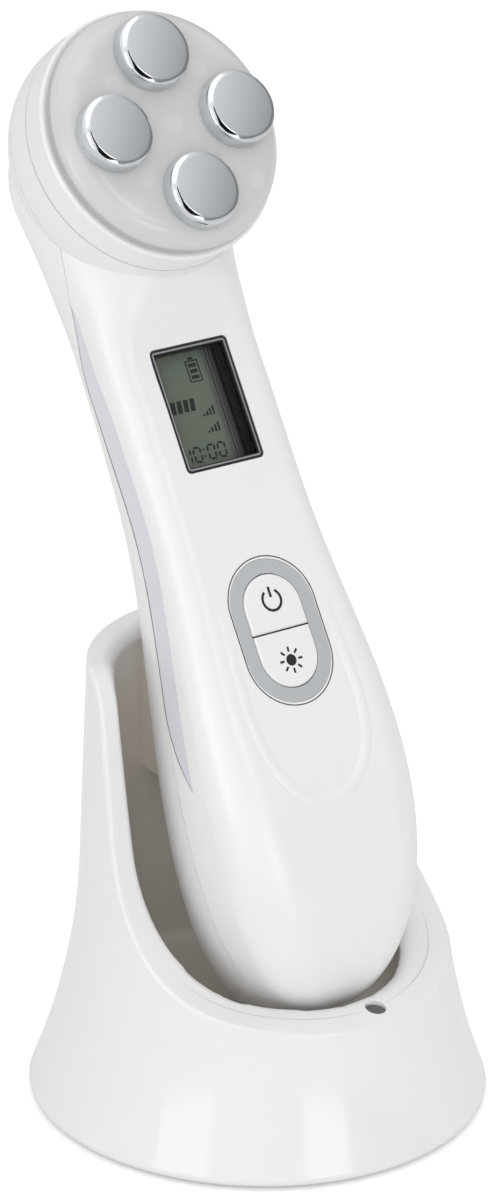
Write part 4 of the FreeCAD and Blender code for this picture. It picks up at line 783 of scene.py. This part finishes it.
class DEVICE_OT_lens(bpy.types.Operator):
    """Turn the milky lens with its soft shoulder, and the dark ring of painted shade in the seam behind the
    collar
    """

    bl_idname = "device.lens"
    bl_label = "Lens"

    def execute(self, context):
        low, high = local_box("head_lens", HEAD)
        collar = local_box("head_collar", HEAD)[1]
        radius, front = high.x, high.z
        seat = collar.z + LENS_SEAT_RISE
        bore = radius - LENS_BORE_INSET
        inside = bore - LENS_WALL
        roof = front - LENS_WALL

        def shoulder(place):
            """A point of the lens's shoulder from its way in and down."""
            return (radius - place[0], front - place[1])

        profile = [(0.0, roof), (inside, roof), (inside, low.z), (bore, low.z), (bore, seat)]
        profile += [(radius - LENS_FOOT_EDGE, seat), (radius, seat + LENS_FOOT_EDGE)]
        profile += curve_through(shoulder(LENS_SIDE_CORNER), (radius, seat + LENS_SIDE_START),
                                 shoulder(LENS_SIDE_END), LENS_TURN_STEPS)
        profile += curve_through(shoulder(LENS_FRONT_CORNER), shoulder(LENS_FRONT_START),
                                 shoulder(LENS_FRONT_END), LENS_TURN_STEPS)
        profile.append((0.0, front))
        piece = lathe(profile, LENS_STEPS)
        smooth(piece, degrees=40.0)
        settle(piece, "milky_lens", HEAD, "handset", "milky_lens", ("head_lens",))
        # Painted shade: a thin grey ring laid in the collar's seam
        inner, outer = collar.x - SEAM_SHADE_INNER_INSET, collar.x - SEAM_SHADE_OUTER_INSET
        corners = [(inner, SEAM_SHADE_NEAR), (outer, SEAM_SHADE_NEAR), (outer, SEAM_SHADE_FAR), (inner, SEAM_SHADE_FAR)]
        piece = lathe(corners + corners[:1], LENS_STEPS)
        settle(piece, "collar_seal", HEAD, "handset", "grey_pad")
        return {"FINISHED"}


# Rings round the display: name, inset, width, rise, slot and look
BEZEL = (
    ("bezel_outer", 0.0, 0.42 * MM, 0.37 * MM, "black_frame", None),
    ("bezel_line", 0.42 * MM, 0.30 * MM, 0.33 * MM, "silver_trim", "bezel_line"),
    ("bezel_inner", 0.72 * MM, 0.24 * MM, 0.10 * MM, "black_frame", None),
)
BEZEL_CORNER = 1.0 * MM
BEZEL_LEAST_CORNER = 0.3 * MM

# The display's segments, in millimetres from the panel's middle
STROKE = 0.42
DIGIT_WIDTH = 1.5
DIGIT_HEIGHT = 2.7
DIGIT_LEAN = -6.0
DIGIT_LINE = -8.3
DIGITS = (("1", -5.2), ("0", -2.9), ("0", 0.3), ("0", 2.6))
COLON, COLON_DOTS = -1.4, (-7.6, -8.8)
LEVEL_START, LEVEL_LINE, LEVEL_STEP, LEVEL_COUNT = -6.4, 1.1, 1.45, 5
LEVEL_BAR, LEVEL_LEAN = (1.0, 2.4), -8.0
SIGNAL_FEET, SIGNAL_START, SIGNAL_STEP, SIGNAL_COUNT = (-1.6, -4.8), 1.2, 0.75, 4
SIGNAL_LEAST, SIGNAL_GROWTH = 0.5, 0.42
BATTERY_LINE = 0.26
BATTERY_LEFT, BATTERY_RIGHT, BATTERY_FOOT, BATTERY_TOP = 0.7, 3.3, 5.2, 9.2
BATTERY_CAP, BATTERY_CAP_RISE = (1.1, 0.5), 0.45
CHARGE_START, CHARGE_STEP, CHARGE_COUNT = 0.85, 1.15, 3
CHARGE_MARGIN, CHARGE_HEIGHT = 0.9, 0.72


def digit_bars(digit, x, y):
    """Bars of a seven-segment 1 or 0 about its middle."""
    half, tall = DIGIT_WIDTH / 2.0, DIGIT_HEIGHT / 2.0
    flat, upright = (DIGIT_WIDTH - STROKE, STROKE), (STROKE, tall - STROKE)
    sides = (half,) if digit == "1" else (half, -half)
    bars = [(x + side, y + end * tall / 2.0) + upright for side in sides for end in (1.0, -1.0)]
    if digit == "0":
        bars += [(x, y + end * tall) + flat for end in (1.0, -1.0)]
    return [bar + (DIGIT_LEAN,) for bar in bars]


class DEVICE_OT_display(bpy.types.Operator):
    """Draw the display's plain segments and lay three fine rings round its window"""

    bl_idname = "device.display"
    bl_label = "Display"

    def execute(self, context):
        bars = [tuple(length * MM for length in bar[:4]) + bar[4:] for bar in self.segments()]
        piece = bars_piece(bars, context.scene.device_sizes.sign_thickness)
        settle(piece, "display_segments", face_seat("display_panel"), "handset", "display_glass",
               look="display_ink")
        low, high = local_box("display_window", HANDSET)
        half = (high - low) / 2.0
        for name, inset, width, rise, slot, look in BEZEL:
            corner = max(BEZEL_CORNER - inset, BEZEL_LEAST_CORNER)
            ring = ring_piece(half.x - inset, half.z - inset, corner, width, rise)
            settle(ring, name, face_seat("display_window"), "handset", slot, look=look)
        return {"FINISHED"}

    def segments(self):
        """Bars of a time, a level, two signals and a battery."""
        bars = [bar for digit, x in DIGITS for bar in digit_bars(digit, x, DIGIT_LINE)]
        bars += [(COLON, y, STROKE, STROKE, 0.0) for y in COLON_DOTS]
        for i in range(LEVEL_COUNT):
            bars.append((LEVEL_START + LEVEL_STEP * i, LEVEL_LINE, *LEVEL_BAR, LEVEL_LEAN))
        for foot in SIGNAL_FEET:
            for i in range(SIGNAL_COUNT):
                tall = SIGNAL_LEAST + SIGNAL_GROWTH * i
                bars.append((SIGNAL_START + SIGNAL_STEP * i, foot + tall / 2.0, STROKE, tall, 0.0))
        wide, tall = BATTERY_RIGHT - BATTERY_LEFT, BATTERY_TOP - BATTERY_FOOT
        x, y = (BATTERY_LEFT + BATTERY_RIGHT) / 2.0, (BATTERY_FOOT + BATTERY_TOP) / 2.0
        bars += [(side, y, BATTERY_LINE, tall, 0.0) for side in (BATTERY_LEFT, BATTERY_RIGHT)]
        bars += [(x, end, wide + BATTERY_LINE, BATTERY_LINE, 0.0) for end in (BATTERY_FOOT, BATTERY_TOP)]
        bars.append((x, BATTERY_TOP + BATTERY_CAP_RISE, *BATTERY_CAP, 0.0))
        for i in range(CHARGE_COUNT):
            y = BATTERY_FOOT + CHARGE_START + CHARGE_STEP * i
            bars.append((x, y, wide - CHARGE_MARGIN, CHARGE_HEIGHT, 0.0))
        return bars


POWER_INNER = 1.75 * MM
POWER_OUTER = 2.25 * MM
POWER_OPEN = 0.86
POWER_STEPS = 72
POWER_BAR = (0.52 * MM, 2.0 * MM, 1.0)
POWER_BAR_PLACE = (0.0, 1.55 * MM, 0.0)
RAY_TURNS = range(0, 360, 45)
RAY_REACH = 2.05 * MM
RAY_LENGTH = 0.95 * MM
RAY_WIDTH = 0.42 * MM
SUN_RADIUS = 1.1 * MM
SUN_STEPS = 48
# Painted shade: the dark line round the key surround stands in for the shade in the gap there
SHADE_LINE_HALF_WIDTH = 9.58 * MM
SHADE_LINE_HALF_LENGTH = 14.4 * MM
SHADE_LINE_STEPS = 96


class DEVICE_OT_keys(bpy.types.Operator):
    """Lay a plain sign on each key and a dark line of painted shade round the key surround"""

    bl_idname = "device.keys"
    bl_label = "Keys"

    def execute(self, context):
        sizes = context.scene.device_sizes
        self.power_sign((0.0, 0.0, sizes.sign_thickness))
        self.light_sign((0.0, 0.0, sizes.sign_thickness))
        self.shade_line(sizes)
        return {"FINISHED"}

    def power_sign(self, step):
        """An open ring with a short bar."""
        piece = begin(bpy.ops.mesh.primitive_circle_add, vertices=POWER_STEPS, radius=POWER_INNER)
        pick(piece, lambda place: place.y > POWER_INNER * POWER_OPEN)
        bpy.ops.mesh.delete(type="VERT")
        pick_all()
        bpy.ops.mesh.extrude_edges_move()
        grow = POWER_OUTER / POWER_INNER
        bpy.ops.transform.resize(value=(grow, grow, 1.0), center_override=ORIGIN)
        bpy.ops.mesh.primitive_plane_add(size=1.0, location=ORIGIN)
        bpy.ops.transform.resize(value=POWER_BAR, center_override=ORIGIN)
        bpy.ops.transform.translate(value=POWER_BAR_PLACE)
        pick_all()
        thicken(step)
        settle(piece, "power_sign", face_seat("power_button"), "power_key", "black_frame")

    def light_sign(self, step):
        """A small disc with eight rays."""
        bars = []
        for turn in RAY_TURNS:
            middle = RAY_REACH * heading(math.radians(turn))
            bars.append((middle.x, middle.y, RAY_LENGTH, RAY_WIDTH, turn))
        piece = bars_piece(bars, step[2])
        edit(piece)
        bpy.ops.mesh.select_all(action="DESELECT")
        bpy.ops.mesh.primitive_circle_add(vertices=SUN_STEPS, radius=SUN_RADIUS, fill_type="NGON")
        thicken(step)
        settle(piece, "light_sign", face_seat("light_button"), "light_key", "black_frame")

    def shade_line(self, sizes):
        """A thin dark line along the surround's outer edge, painted shade for the gap there."""
        inner = SHADE_LINE_HALF_WIDTH - sizes.shade_line_width
        piece = begin(bpy.ops.mesh.primitive_circle_add, vertices=SHADE_LINE_STEPS, radius=inner)
        bpy.ops.transform.rotate(value=math.pi / SHADE_LINE_STEPS, orient_axis="Z", center_override=ORIGIN)
        bpy.ops.mesh.extrude_edges_move()
        grow = SHADE_LINE_HALF_WIDTH / inner
        bpy.ops.transform.resize(value=(grow, grow, 1.0), center_override=ORIGIN)
        for side in (1.0, -1.0):
            pick(piece, lambda place: place.y * side > 0.0)
            reach = side * (SHADE_LINE_HALF_LENGTH - SHADE_LINE_HALF_WIDTH)
            bpy.ops.transform.translate(value=(0.0, reach, 0.0))
        bpy.ops.object.mode_set(mode="OBJECT")
        low, high = local_box("button_surround", HANDSET)
        middle = (low.z + high.z) / 2.0
        for vertex in piece.data.vertices:
            vertex.co = on_front(vertex.co.x, vertex.co.y + middle, -sizes.sign_thickness)
        edit(piece)
        thicken((0.0, -2.0 * sizes.sign_thickness, 0.0))
        settle(piece, "surround_gasket", HANDSET, "handset", "component")


# Half of the ridge's U in handset X and Z, and its section as (offset, share of the height), in millimetres
RIDGE_LINE = (
    (9.2, 86.0), (10.6, 79.0), (11.7, 71.0), (12.4, 63.0), (12.8, 55.5), (12.2, 48.5), (9.6, 41.8),
    (5.2, 37.4), (0.0, 36.0),
)
RIDGE_PROFILE = (
    (-1.0, -0.35), (-0.8, 0.0), (-0.4, 0.62), (0.0, 1.0), (0.5, 0.86), (1.0, 0.5), (1.5, 0.1), (1.8, -0.35),
)
RIDGE_ORDER = 4
RIDGE_STEPS = 10
RIDGE_FADE = 0.22
RIDGE_END = 0.05
RIDGE_SUNK = -0.3


def ridge_points():
    """Points along the U of the ridge, with handset X and Z as X and Y."""
    path = added(bpy.ops.curve.primitive_nurbs_path_add)
    half = [(-x * MM, z * MM) for x, z in RIDGE_LINE]
    line = half + [(-x, z) for x, z in reversed(half[:-1])]
    spline = path.data.splines[0]
    spline.points.add(len(line) - len(spline.points))
    for point, (x, z) in zip(spline.points, line):
        point.co = (x, z, 0.0, 1.0)
    spline.order_u = RIDGE_ORDER
    spline.use_endpoint_u = True
    path.data.resolution_u = RIDGE_STEPS
    bpy.context.view_layer.update()
    mesh = bpy.data.meshes.new_from_object(path)
    points = [vertex.co.copy() for vertex in mesh.vertices]
    bpy.data.objects.remove(path)
    bpy.data.meshes.remove(mesh)
    return points


class DEVICE_OT_ridge(bpy.types.Operator):
    """Lay the soft U-shaped ridge on the front shell round the keys"""

    bl_idname = "device.ridge"
    bl_label = "Ridge"

    def execute(self, context):
        height = context.scene.device_sizes.ridge_height
        points = ridge_points()
        last = len(points) - 1
        rows = []
        for j, point in enumerate(points):
            along = (points[min(j + 1, last)] - points[max(j - 1, 0)]).normalized()
            inward = Vector((-along.y, along.x, 0.0))
            fade = ease(min(j, last - j) / (RIDGE_FADE * len(points)))
            row = []
            for offset, share in RIDGE_PROFILE:
                if share > 0.0:
                    share = share * fade if fade >= RIDGE_END else RIDGE_SUNK
                spot = point + inward * offset * MM
                row.append(on_front(spot.x, spot.y, height * share))
            rows.append(row)
        piece = grid_through(rows, len(RIDGE_PROFILE))
        edit(piece)
        close_up()
        smooth(piece, degrees=60.0)
        settle(piece, "thumb_ridge", HANDSET, "handset", "white_shell")
        return {"FINISHED"}


HIGH_ABOVE = 0.3 * UP
PLUG_PROBE = 2.7 * MM
PLUG_STEPS = 48
PLUG_CLEAR = 0.02 * MM

# The plug's section from its foot to its hollow, by insets from its edge and heights
PLUG_FOOT, PLUG_HOLLOW = -2.0 * MM, -0.8 * MM
PLUG_SECTION = ((0.0, PLUG_FOOT), (0.0, -0.55 * MM), (0.2 * MM, -0.35 * MM), (0.7 * MM, -0.45 * MM))


class DEVICE_OT_plug(bpy.types.Operator):
    """Set a dark plug into the hole of the stand's rim, as painted shade for the inside of the hole"""

    bl_idname = "device.plug"
    bl_label = "Rim plug"

    def execute(self, context):
        spots = []
        for turn in range(3):
            aside = PLUG_PROBE * heading(math.radians(90.0 + 120.0 * turn))
            spots.append(landing("stand_shell", RIM_HOLE + aside + HIGH_ABOVE, DOWN)[0])
        upward = (spots[1] - spots[0]).cross(spots[2] - spots[0]).normalized()
        middle = (spots[0] + spots[1] + spots[2]) / 3.0
        radius = RIM_HOLE_RADIUS - PLUG_CLEAR
        section = [(radius - inset, height) for inset, height in PLUG_SECTION]
        piece = lathe([(0.0, PLUG_FOOT)] + section + [(0.0, PLUG_HOLLOW)], PLUG_STEPS)
        smooth(piece, degrees=40.0)
        turn = upward.to_track_quat("Z", "Y").to_matrix().to_4x4()
        # The dark plug is painted shade for the inside of the hole
        settle(piece, "rim_plug", Matrix.Translation(middle) @ turn, "stand", "component", look="rim_plug")
        return {"FINISHED"}


# Turns about the stand, in tenths of a degree
ALL_ROUND = range(3600)
RIM_SEAM_TURNS = range(220, 1560)

RIM_REACH = 31.0 * MM
HOLE_CLEAR = 0.5 * MM
BACK_START = 34.0 * MM
BACK_CLIMB = 18.0 * MM
LIP_WIDTH = 0.9 * MM
WALL_LIP_WIDTH = 1.5 * MM
LEDGE_WIDTH = 4.4 * MM
LEDGE_START = -6.0 * MM
LEDGE_GROWTH = 18.0 * MM
LIP_START = 0.9 * MM
LIP_STEP = 1.2 * MM
LIP_CLEAR = 1.0 * MM
LIP_LEAST = 0.8 * MM
LIP_SUNK = 0.5 * MM
LIP_SPREAD = 9
LIP_DROP_SHARE = 0.45
LIP_BACK_DROP_SHARE = 0.85
LIP_ROLL = range(0, 91, 9)
LIP_HEEL = (-0.2 * MM, 0.4 * MM)
LIP_UNDER = (-0.3 * MM, 0.15 * MM)
LIP_ROOT = (0.4 * MM, 0.3 * MM)
PROBE_INSET = 0.3 * MM
PROBE_START = 19.0 * MM
PROBE_STEP = 1.0 * MM
RIM_SEAM_START = 2.7 * MM
RIM_SEAM_HALF_WIDTH = 0.11 * MM
RIM_SEAM_DEPTH = 0.1 * MM
RIM_SEAM_ENDS = 9


class DEVICE_OT_lip(bpy.types.Operator):
    """Roll a soft lip from the stand's rim into the cup where the handset leaves room, and seam the rim"""

    bl_idname = "device.lip"
    bl_label = "Cup lip"

    def execute(self, context):
        spots = self.rim_spots(LIP_START, ALL_ROUND)
        widths = [self.room_at(spot, angle) for spot, normal, angle in spots]
        count = len(spots)
        near = range(-LIP_SPREAD, LIP_SPREAD + 1)
        widths = [min(widths[(i + k) % count] for k in near) for i in range(count)]
        for turn in range(2):
            widths = [sum(widths[(i + k) % count] for k in near) / len(near) for i in range(count)]
        rows = [self.section(*spot, width) for spot, width in zip(spots, widths)]
        piece = sweep(rows + rows[:1])
        smooth(piece, degrees=55.0)
        settle(piece, "cup_lip", Matrix(), "stand", "white_stand", look="stand_lip")
        seam = self.rim_spots(RIM_SEAM_START, RIM_SEAM_TURNS)
        first = [spot for spot in seam if spot[0].x > RIM_HOLE.x]
        for name, half in (("right", first), ("left", seam[len(first):])):
            rows = []
            for i, (spot, normal, angle) in enumerate(half):
                share = min(i + 1, len(half) - i, RIM_SEAM_ENDS) / RIM_SEAM_ENDS
                aside = self.inward(normal, angle) * RIM_SEAM_HALF_WIDTH * share
                rows.append(line_section(spot, normal, aside, RIM_SEAM_DEPTH))
            settle(sweep(rows), "rim_seam_" + name, Matrix(), "stand", "white_stand", look="rim_seam")
        return {"FINISHED"}

    def rim_spots(self, outside, turns):
        """Points, normals and angles along the rim, outside the cup's wall, by tenths of a degree."""
        spots = []
        for turn in turns:
            angle = math.radians(-0.1 * turn)
            outward = heading(angle)
            rim = landing("stand_shell", outward * RIM_REACH + HIGH_ABOVE, DOWN)[0]
            climb = (rim.z - CUP_FLOOR) / (CUP_TOP - CUP_FLOOR)
            wall = CUP_FLOOR_RADIUS + (CUP_RADIUS - CUP_FLOOR_RADIUS) * climb
            start = outward * (wall + outside)
            if (start - RIM_HOLE).length < RIM_HOLE_RADIUS + HOLE_CLEAR:
                continue
            spot, normal = landing("stand_shell", start + HIGH_ABOVE, DOWN)
            if not spots or (spot - spots[-1][0]).length > LIP_STEP:
                spots.append((spot, normal, angle))
        return spots

    def room_at(self, spot, angle):
        """How far the lip may reach inwards before the handset, at rest and on its way out."""
        back = self.rise(spot)
        side = min(max((spot.x - LEDGE_START) / LEDGE_GROWTH, 0.0), 1.0) * (1.0 - back)
        room = LIP_WIDTH + (LEDGE_WIDTH - LIP_WIDTH) * side + (WALL_LIP_WIDTH - LIP_WIDTH) * back
        outward = heading(angle)
        height = PROBE_START
        while height < spot.z + PROBE_STEP:
            start = height * UP + outward * (spot.xy.length - LIP_START - PROBE_INSET)
            for name in ("front_shell", "rear_shell"):
                found = touch(name, start, -outward)
                if found:
                    room = min(room, (found[0] - start).length - LIP_CLEAR)
            height += PROBE_STEP
        return max(room, 0.0)

    def rise(self, spot):
        """0 on the low front of the rim, 1 on its back wall."""
        return min(max((spot.z - BACK_START) / BACK_CLIMB, 0.0), 1.0)

    def inward(self, normal, angle):
        """The way into the cup along the rim's face."""
        way = -heading(angle)
        return (way - way.dot(normal) * normal).normalized()

    def section(self, spot, normal, angle, width):
        """Points of the lip's section, sunk into the wall where there is no room."""
        way = self.inward(normal, angle)
        sunk = LIP_SUNK * (1.0 - ease(width / LIP_LEAST))
        reach = LIP_START + width - sunk
        drop = reach * (LIP_DROP_SHARE + LIP_BACK_DROP_SHARE * self.rise(spot))
        base = spot - normal * (sunk - LINE_RISE)
        offsets = [LIP_HEEL]
        for degrees in LIP_ROLL:
            turn = math.radians(degrees)
            offsets.append((reach * math.sin(turn), drop * (1.0 - math.cos(turn))))
        offsets += [(reach + LIP_UNDER[0], drop + LIP_UNDER[1]), (LIP_ROOT[0], drop + LIP_ROOT[1])]
        return [base + way * across - normal * down for across, down in offsets]


STRIP_STEPS = 90
STRIP_MARGIN = 0.3 * MM
STRIP_PROBE = 0.1 * MM
STRIP_OUTSIDE = 60.0 * MM
STRIP_SEAM_HALF_WIDTH = 0.12 * MM
STRIP_SEAM_DEPTH = 0.15 * MM

# Steps over which the seam thins towards its foot and its top, and the steps that each end is cut short by
STRIP_SEAM_FOOT, STRIP_SEAM_TOP, STRIP_SEAM_BLUNT = 8.0, 30.0, 2.0


class DEVICE_OT_seams(bpy.types.Operator):
    """Draw the dark seam behind each side strip"""

    bl_idname = "device.seams"
    bl_label = "Strip seams"

    def execute(self, context):
        for side, name in ((-1.0, "left"), (1.0, "right")):
            spots = self.rear_edge("side_strip_" + name, side)
            last = len(spots) - 1
            rows = []
            for i, (spot, normal) in enumerate(spots):
                along = spots[min(i + 1, last)][0] - spots[max(i - 1, 0)][0]
                foot = (i + STRIP_SEAM_BLUNT) / STRIP_SEAM_FOOT
                top = (last - i + STRIP_SEAM_BLUNT) / STRIP_SEAM_TOP
                half = STRIP_SEAM_HALF_WIDTH * min(1.0, foot, top)
                aside = along.cross(normal).normalized() * half
                rows.append(line_section(spot, normal, aside, STRIP_SEAM_DEPTH))
            settle(sweep(rows), "strip_seam_" + name, HANDSET, "handset", "foam", look="strip_seam")
        return {"FINISHED"}

    def rear_edge(self, node, side):
        """Points and normals along a strip's rear edge, in the handset's frame."""
        low, high = local_box(node, HANDSET)
        back, turn = HANDSET.inverted(), HANDSET.to_3x3()
        toward = (turn @ Vector((-side, 0.0, 0.0))).normalized()
        foot, length = low.z + STRIP_MARGIN, high.z - low.z - 2.0 * STRIP_MARGIN
        spots = []
        for i in range(STRIP_STEPS + 1):
            y, found = high.y, None
            while y > low.y and not found:
                start = HANDSET @ Vector((side * STRIP_OUTSIDE, y, foot + length * i / STRIP_STEPS))
                found = touch(node, start, toward)
                y -= STRIP_PROBE
            if found:
                spots.append((back @ found[0], (turn.transposed() @ found[1]).normalized()))
        return spots


class DEVICE_OT_inside(bpy.types.Operator):
    """Give every CAD node its finished material"""

    bl_idname = "device.inside"
    bl_label = "Inside"

    def execute(self, context):
        materials = slot_materials(context.scene.device_finish)
        for name, node in NODES.items():
            node.data.materials.clear()
            node.data.materials.append(materials[SLOTS[name]])
        return {"FINISHED"}


# Soft lamps: name, place, size and the setting of their power
LAMPS = (
    ("key_lamp", (-0.92, -0.88, 0.95), 0.9, "key_power"),
    ("fill_lamp", (1.35, 0.25, 0.75), 0.9, "fill_power"),
    ("top_lamp", (0.05, 0.15, 1.35), 1.0, "top_power"),
    ("low_lamp", (-0.75, -0.95, 0.20), 0.6, "low_power"),
)
LAMP_AIM = 0.09 * UP

# Cards that gloss shows: name, place, width, height and the setting of their brightness, or None for black
CARDS = (
    ("left_strip", (-1.14, -0.37, 0.42), 0.62, 0.84, "strip_level"),
    ("front_strip", (-0.04, -1.25, 0.42), 0.54, 0.84, "strip_level"),
    ("upper_strip", (0.20, -0.90, 0.78), 0.30, 0.45, "strip_level"),
    ("key_card", (-0.70, -0.60, 0.97), 0.62, 0.55, "card_level"),
    ("top_card", (-0.10, 0.02, 1.30), 1.3, 1.3, "card_level"),
    ("dark_flag", (-0.075, -0.69, 0.70), 0.42, 0.98, None),
)
CARD_AIM_TOP = 0.8
CARD_EDGE = 0.08
FLOOR_SIZE = 8.0
FLOOR_LIFT = 0.30
ROOM_BRIGHT_SIDE = (-0.62, 0.10, 0.78)
ROOM_FALLOFF = {"From Min": -0.30, "From Max": 0.50, "To Min": 0.28, "To Max": 1.0}


class DEVICE_OT_stage(bpy.types.Operator):
    """Set the white floor, the soft lamps, the plain room and the camera"""

    bl_idname = "device.stage"
    bl_label = "Stage"

    def execute(self, context):
        settings = context.scene.device_stage
        self.floor(context)
        self.room(context, settings)
        for name, place, size, power in LAMPS:
            self.lamp(name, place, size, getattr(settings, power))
        for name, place, width, height, level in CARDS:
            self.card(name, place, width, height, getattr(settings, level) if level else 0.0)
        self.camera(context)
        context.scene.view_settings.view_transform = "Standard"
        return {"FINISHED"}

    def floor(self, context):
        """A wide white floor that keeps the soft shadow."""
        plane = added(bpy.ops.mesh.primitive_plane_add, size=FLOOR_SIZE)
        plane.name = "studio_floor"
        colour = context.scene.device_finish.floor
        material = moulded("studio_floor", colour, 0.9, cloud=0.0, uneven=0.0, depth=0.0)
        tree = material.node_tree
        camera_ray = tree.nodes.new("ShaderNodeLightPath").outputs["Is Camera Ray"]
        set_shader(material, {"Specular IOR Level": 0.1, "Emission Color": WHITE,
                              "Emission Strength": maths(tree, "MULTIPLY", camera_ray, FLOOR_LIFT)})
        plane.data.materials.append(material)

    def room(self, context, settings):
        """White to the camera, a soft left-to-right falloff to gloss, plain light otherwise."""
        world = context.scene.world or bpy.data.worlds.new("studio_room")
        context.scene.world = world
        world.use_nodes = True
        tree = world.node_tree
        tree.nodes.clear()
        rays = tree.nodes.new("ShaderNodeLightPath").outputs
        place = tree.nodes.new("ShaderNodeTexCoord").outputs["Generated"]
        toward = vector_maths(tree, "DOT_PRODUCT", place, ROOM_BRIGHT_SIDE, out="Value")
        falloff = add_node(tree, "ShaderNodeMapRange", {"Value": toward, **ROOM_FALLOFF})
        seen = maths(tree, "MAXIMUM", rays["Is Glossy Ray"], rays["Is Transmission Ray"])
        gloss = mix_values(tree, seen, settings.room, falloff.outputs[0])
        strength = mix_values(tree, rays["Is Camera Ray"], gloss, 1.0)
        light = add_node(tree, "ShaderNodeBackground", {"Color": WHITE, "Strength": strength})
        add_node(tree, "ShaderNodeOutputWorld", {"Surface": light.outputs["Background"]})

    def lamp(self, name, place, size, power):
        """A soft square lamp that looks at the device."""
        lamp = added(bpy.ops.object.light_add, type="AREA", location=place)
        lamp.name = name
        lamp.data.size = size
        lamp.data.energy = power
        lamp.rotation_euler = (LAMP_AIM - Vector(place)).to_track_quat("-Z", "Y").to_euler()
        lamp.visible_glossy = False

    def card(self, name, place, width, height, level):
        """A soft-edged card that only shows in gloss."""
        aim = min(place[2], CARD_AIM_TOP) * UP - Vector(place)
        turn = aim.to_track_quat("Z", "Y").to_euler()
        plane = added(bpy.ops.mesh.primitive_plane_add, size=1.0, location=place, rotation=turn)
        plane.name = name
        plane.scale = (width, height, 1.0)
        for rays in ("camera", "diffuse", "transmission", "volume_scatter", "shadow"):
            setattr(plane, "visible_" + rays, False)
        material, tree = bare_material(name)
        flat = tree.nodes.new("ShaderNodeTexCoord").outputs["UV"]
        apart = add_node(tree, "ShaderNodeSeparateXYZ", {"Vector": flat}).outputs
        sides = [soft_step(tree, maths(tree, "PINGPONG", apart[axis], 0.5), 0.0, CARD_EDGE) for axis in "XY"]
        mask = maths(tree, "MULTIPLY", *sides)
        clear = tree.nodes.new("ShaderNodeBsdfTransparent").outputs[0]
        glow = add_node(tree, "ShaderNodeEmission", {"Strength": level}).outputs[0]
        blend = add_node(tree, "ShaderNodeMixShader", {0: mask, 1: clear, 2: glow}).outputs[0]
        add_node(tree, "ShaderNodeOutputMaterial", {"Surface": blend})
        plane.data.materials.append(material)

    def camera(self, context):
        """The photograph's camera, with its slight roll."""
        camera = added(bpy.ops.object.camera_add, location=CAMERA_PLACE)
        camera.name = "photo_camera"
        camera.data.sensor_width = SENSOR
        camera.data.lens = FOCAL_PIXELS / PHOTO_HEIGHT * SENSOR
        camera.data.clip_start = CAMERA_NEAR
        turn = Matrix.Rotation(CAMERA_TURN, 3, "Z")
        tilt = Matrix.Rotation(math.radians(90.0) - CAMERA_RISE, 3, "X")
        roll = Matrix.Rotation(CAMERA_ROLL, 3, "Z")
        camera.rotation_euler = (turn @ tilt @ roll).to_euler()
        context.scene.camera = camera


class DEVICE_PT_pieces(bpy.types.Panel):
    """Lists the device's pieces and settings"""

    bl_label = "Facial Device"
    bl_idname = "DEVICE_PT_pieces"
    bl_space_type = "VIEW_3D"
    bl_region_type = "UI"
    bl_category = "Device"

    def draw(self, context):
        for operator in OPERATORS:
            self.layout.operator(operator.bl_idname)
        for settings in (context.scene.device_finish, context.scene.device_sizes, context.scene.device_stage):
            for name in settings.bl_rna.properties.keys():
                if name not in ("rna_type", "name"):
                    self.layout.prop(settings, name)


OPERATORS = (
    DEVICE_OT_stage, DEVICE_OT_inside, DEVICE_OT_lens, DEVICE_OT_electrodes, DEVICE_OT_display,
    DEVICE_OT_keys, DEVICE_OT_ridge, DEVICE_OT_plug, DEVICE_OT_lip, DEVICE_OT_seams,
)
CLASSES = (DeviceFinish, DeviceSizes, StageSettings) + OPERATORS + (DEVICE_PT_pieces,)


def register():
    """Registers the classes and hangs the settings on the scene."""
    for cls in CLASSES:
        bpy.utils.register_class(cls)
    bpy.types.Scene.device_finish = bpy.props.PointerProperty(type=DeviceFinish)
    bpy.types.Scene.device_sizes = bpy.props.PointerProperty(type=DeviceSizes)
    bpy.types.Scene.device_stage = bpy.props.PointerProperty(type=StageSettings)


def unregister():
    """Takes the settings and the classes away."""
    del bpy.types.Scene.device_finish
    del bpy.types.Scene.device_sizes
    del bpy.types.Scene.device_stage
    for cls in reversed(CLASSES):
        bpy.utils.unregister_class(cls)


def main():
    """Builds every piece."""
    register()
    bpy.ops.device.stage()
    bpy.ops.device.inside()
    bpy.ops.device.lens()
    bpy.ops.device.electrodes()
    bpy.ops.device.display()
    bpy.ops.device.keys()
    bpy.ops.device.ridge()
    bpy.ops.device.plug()
    bpy.ops.device.lip()
    bpy.ops.device.seams()


if __name__ == "__main__":
    main()
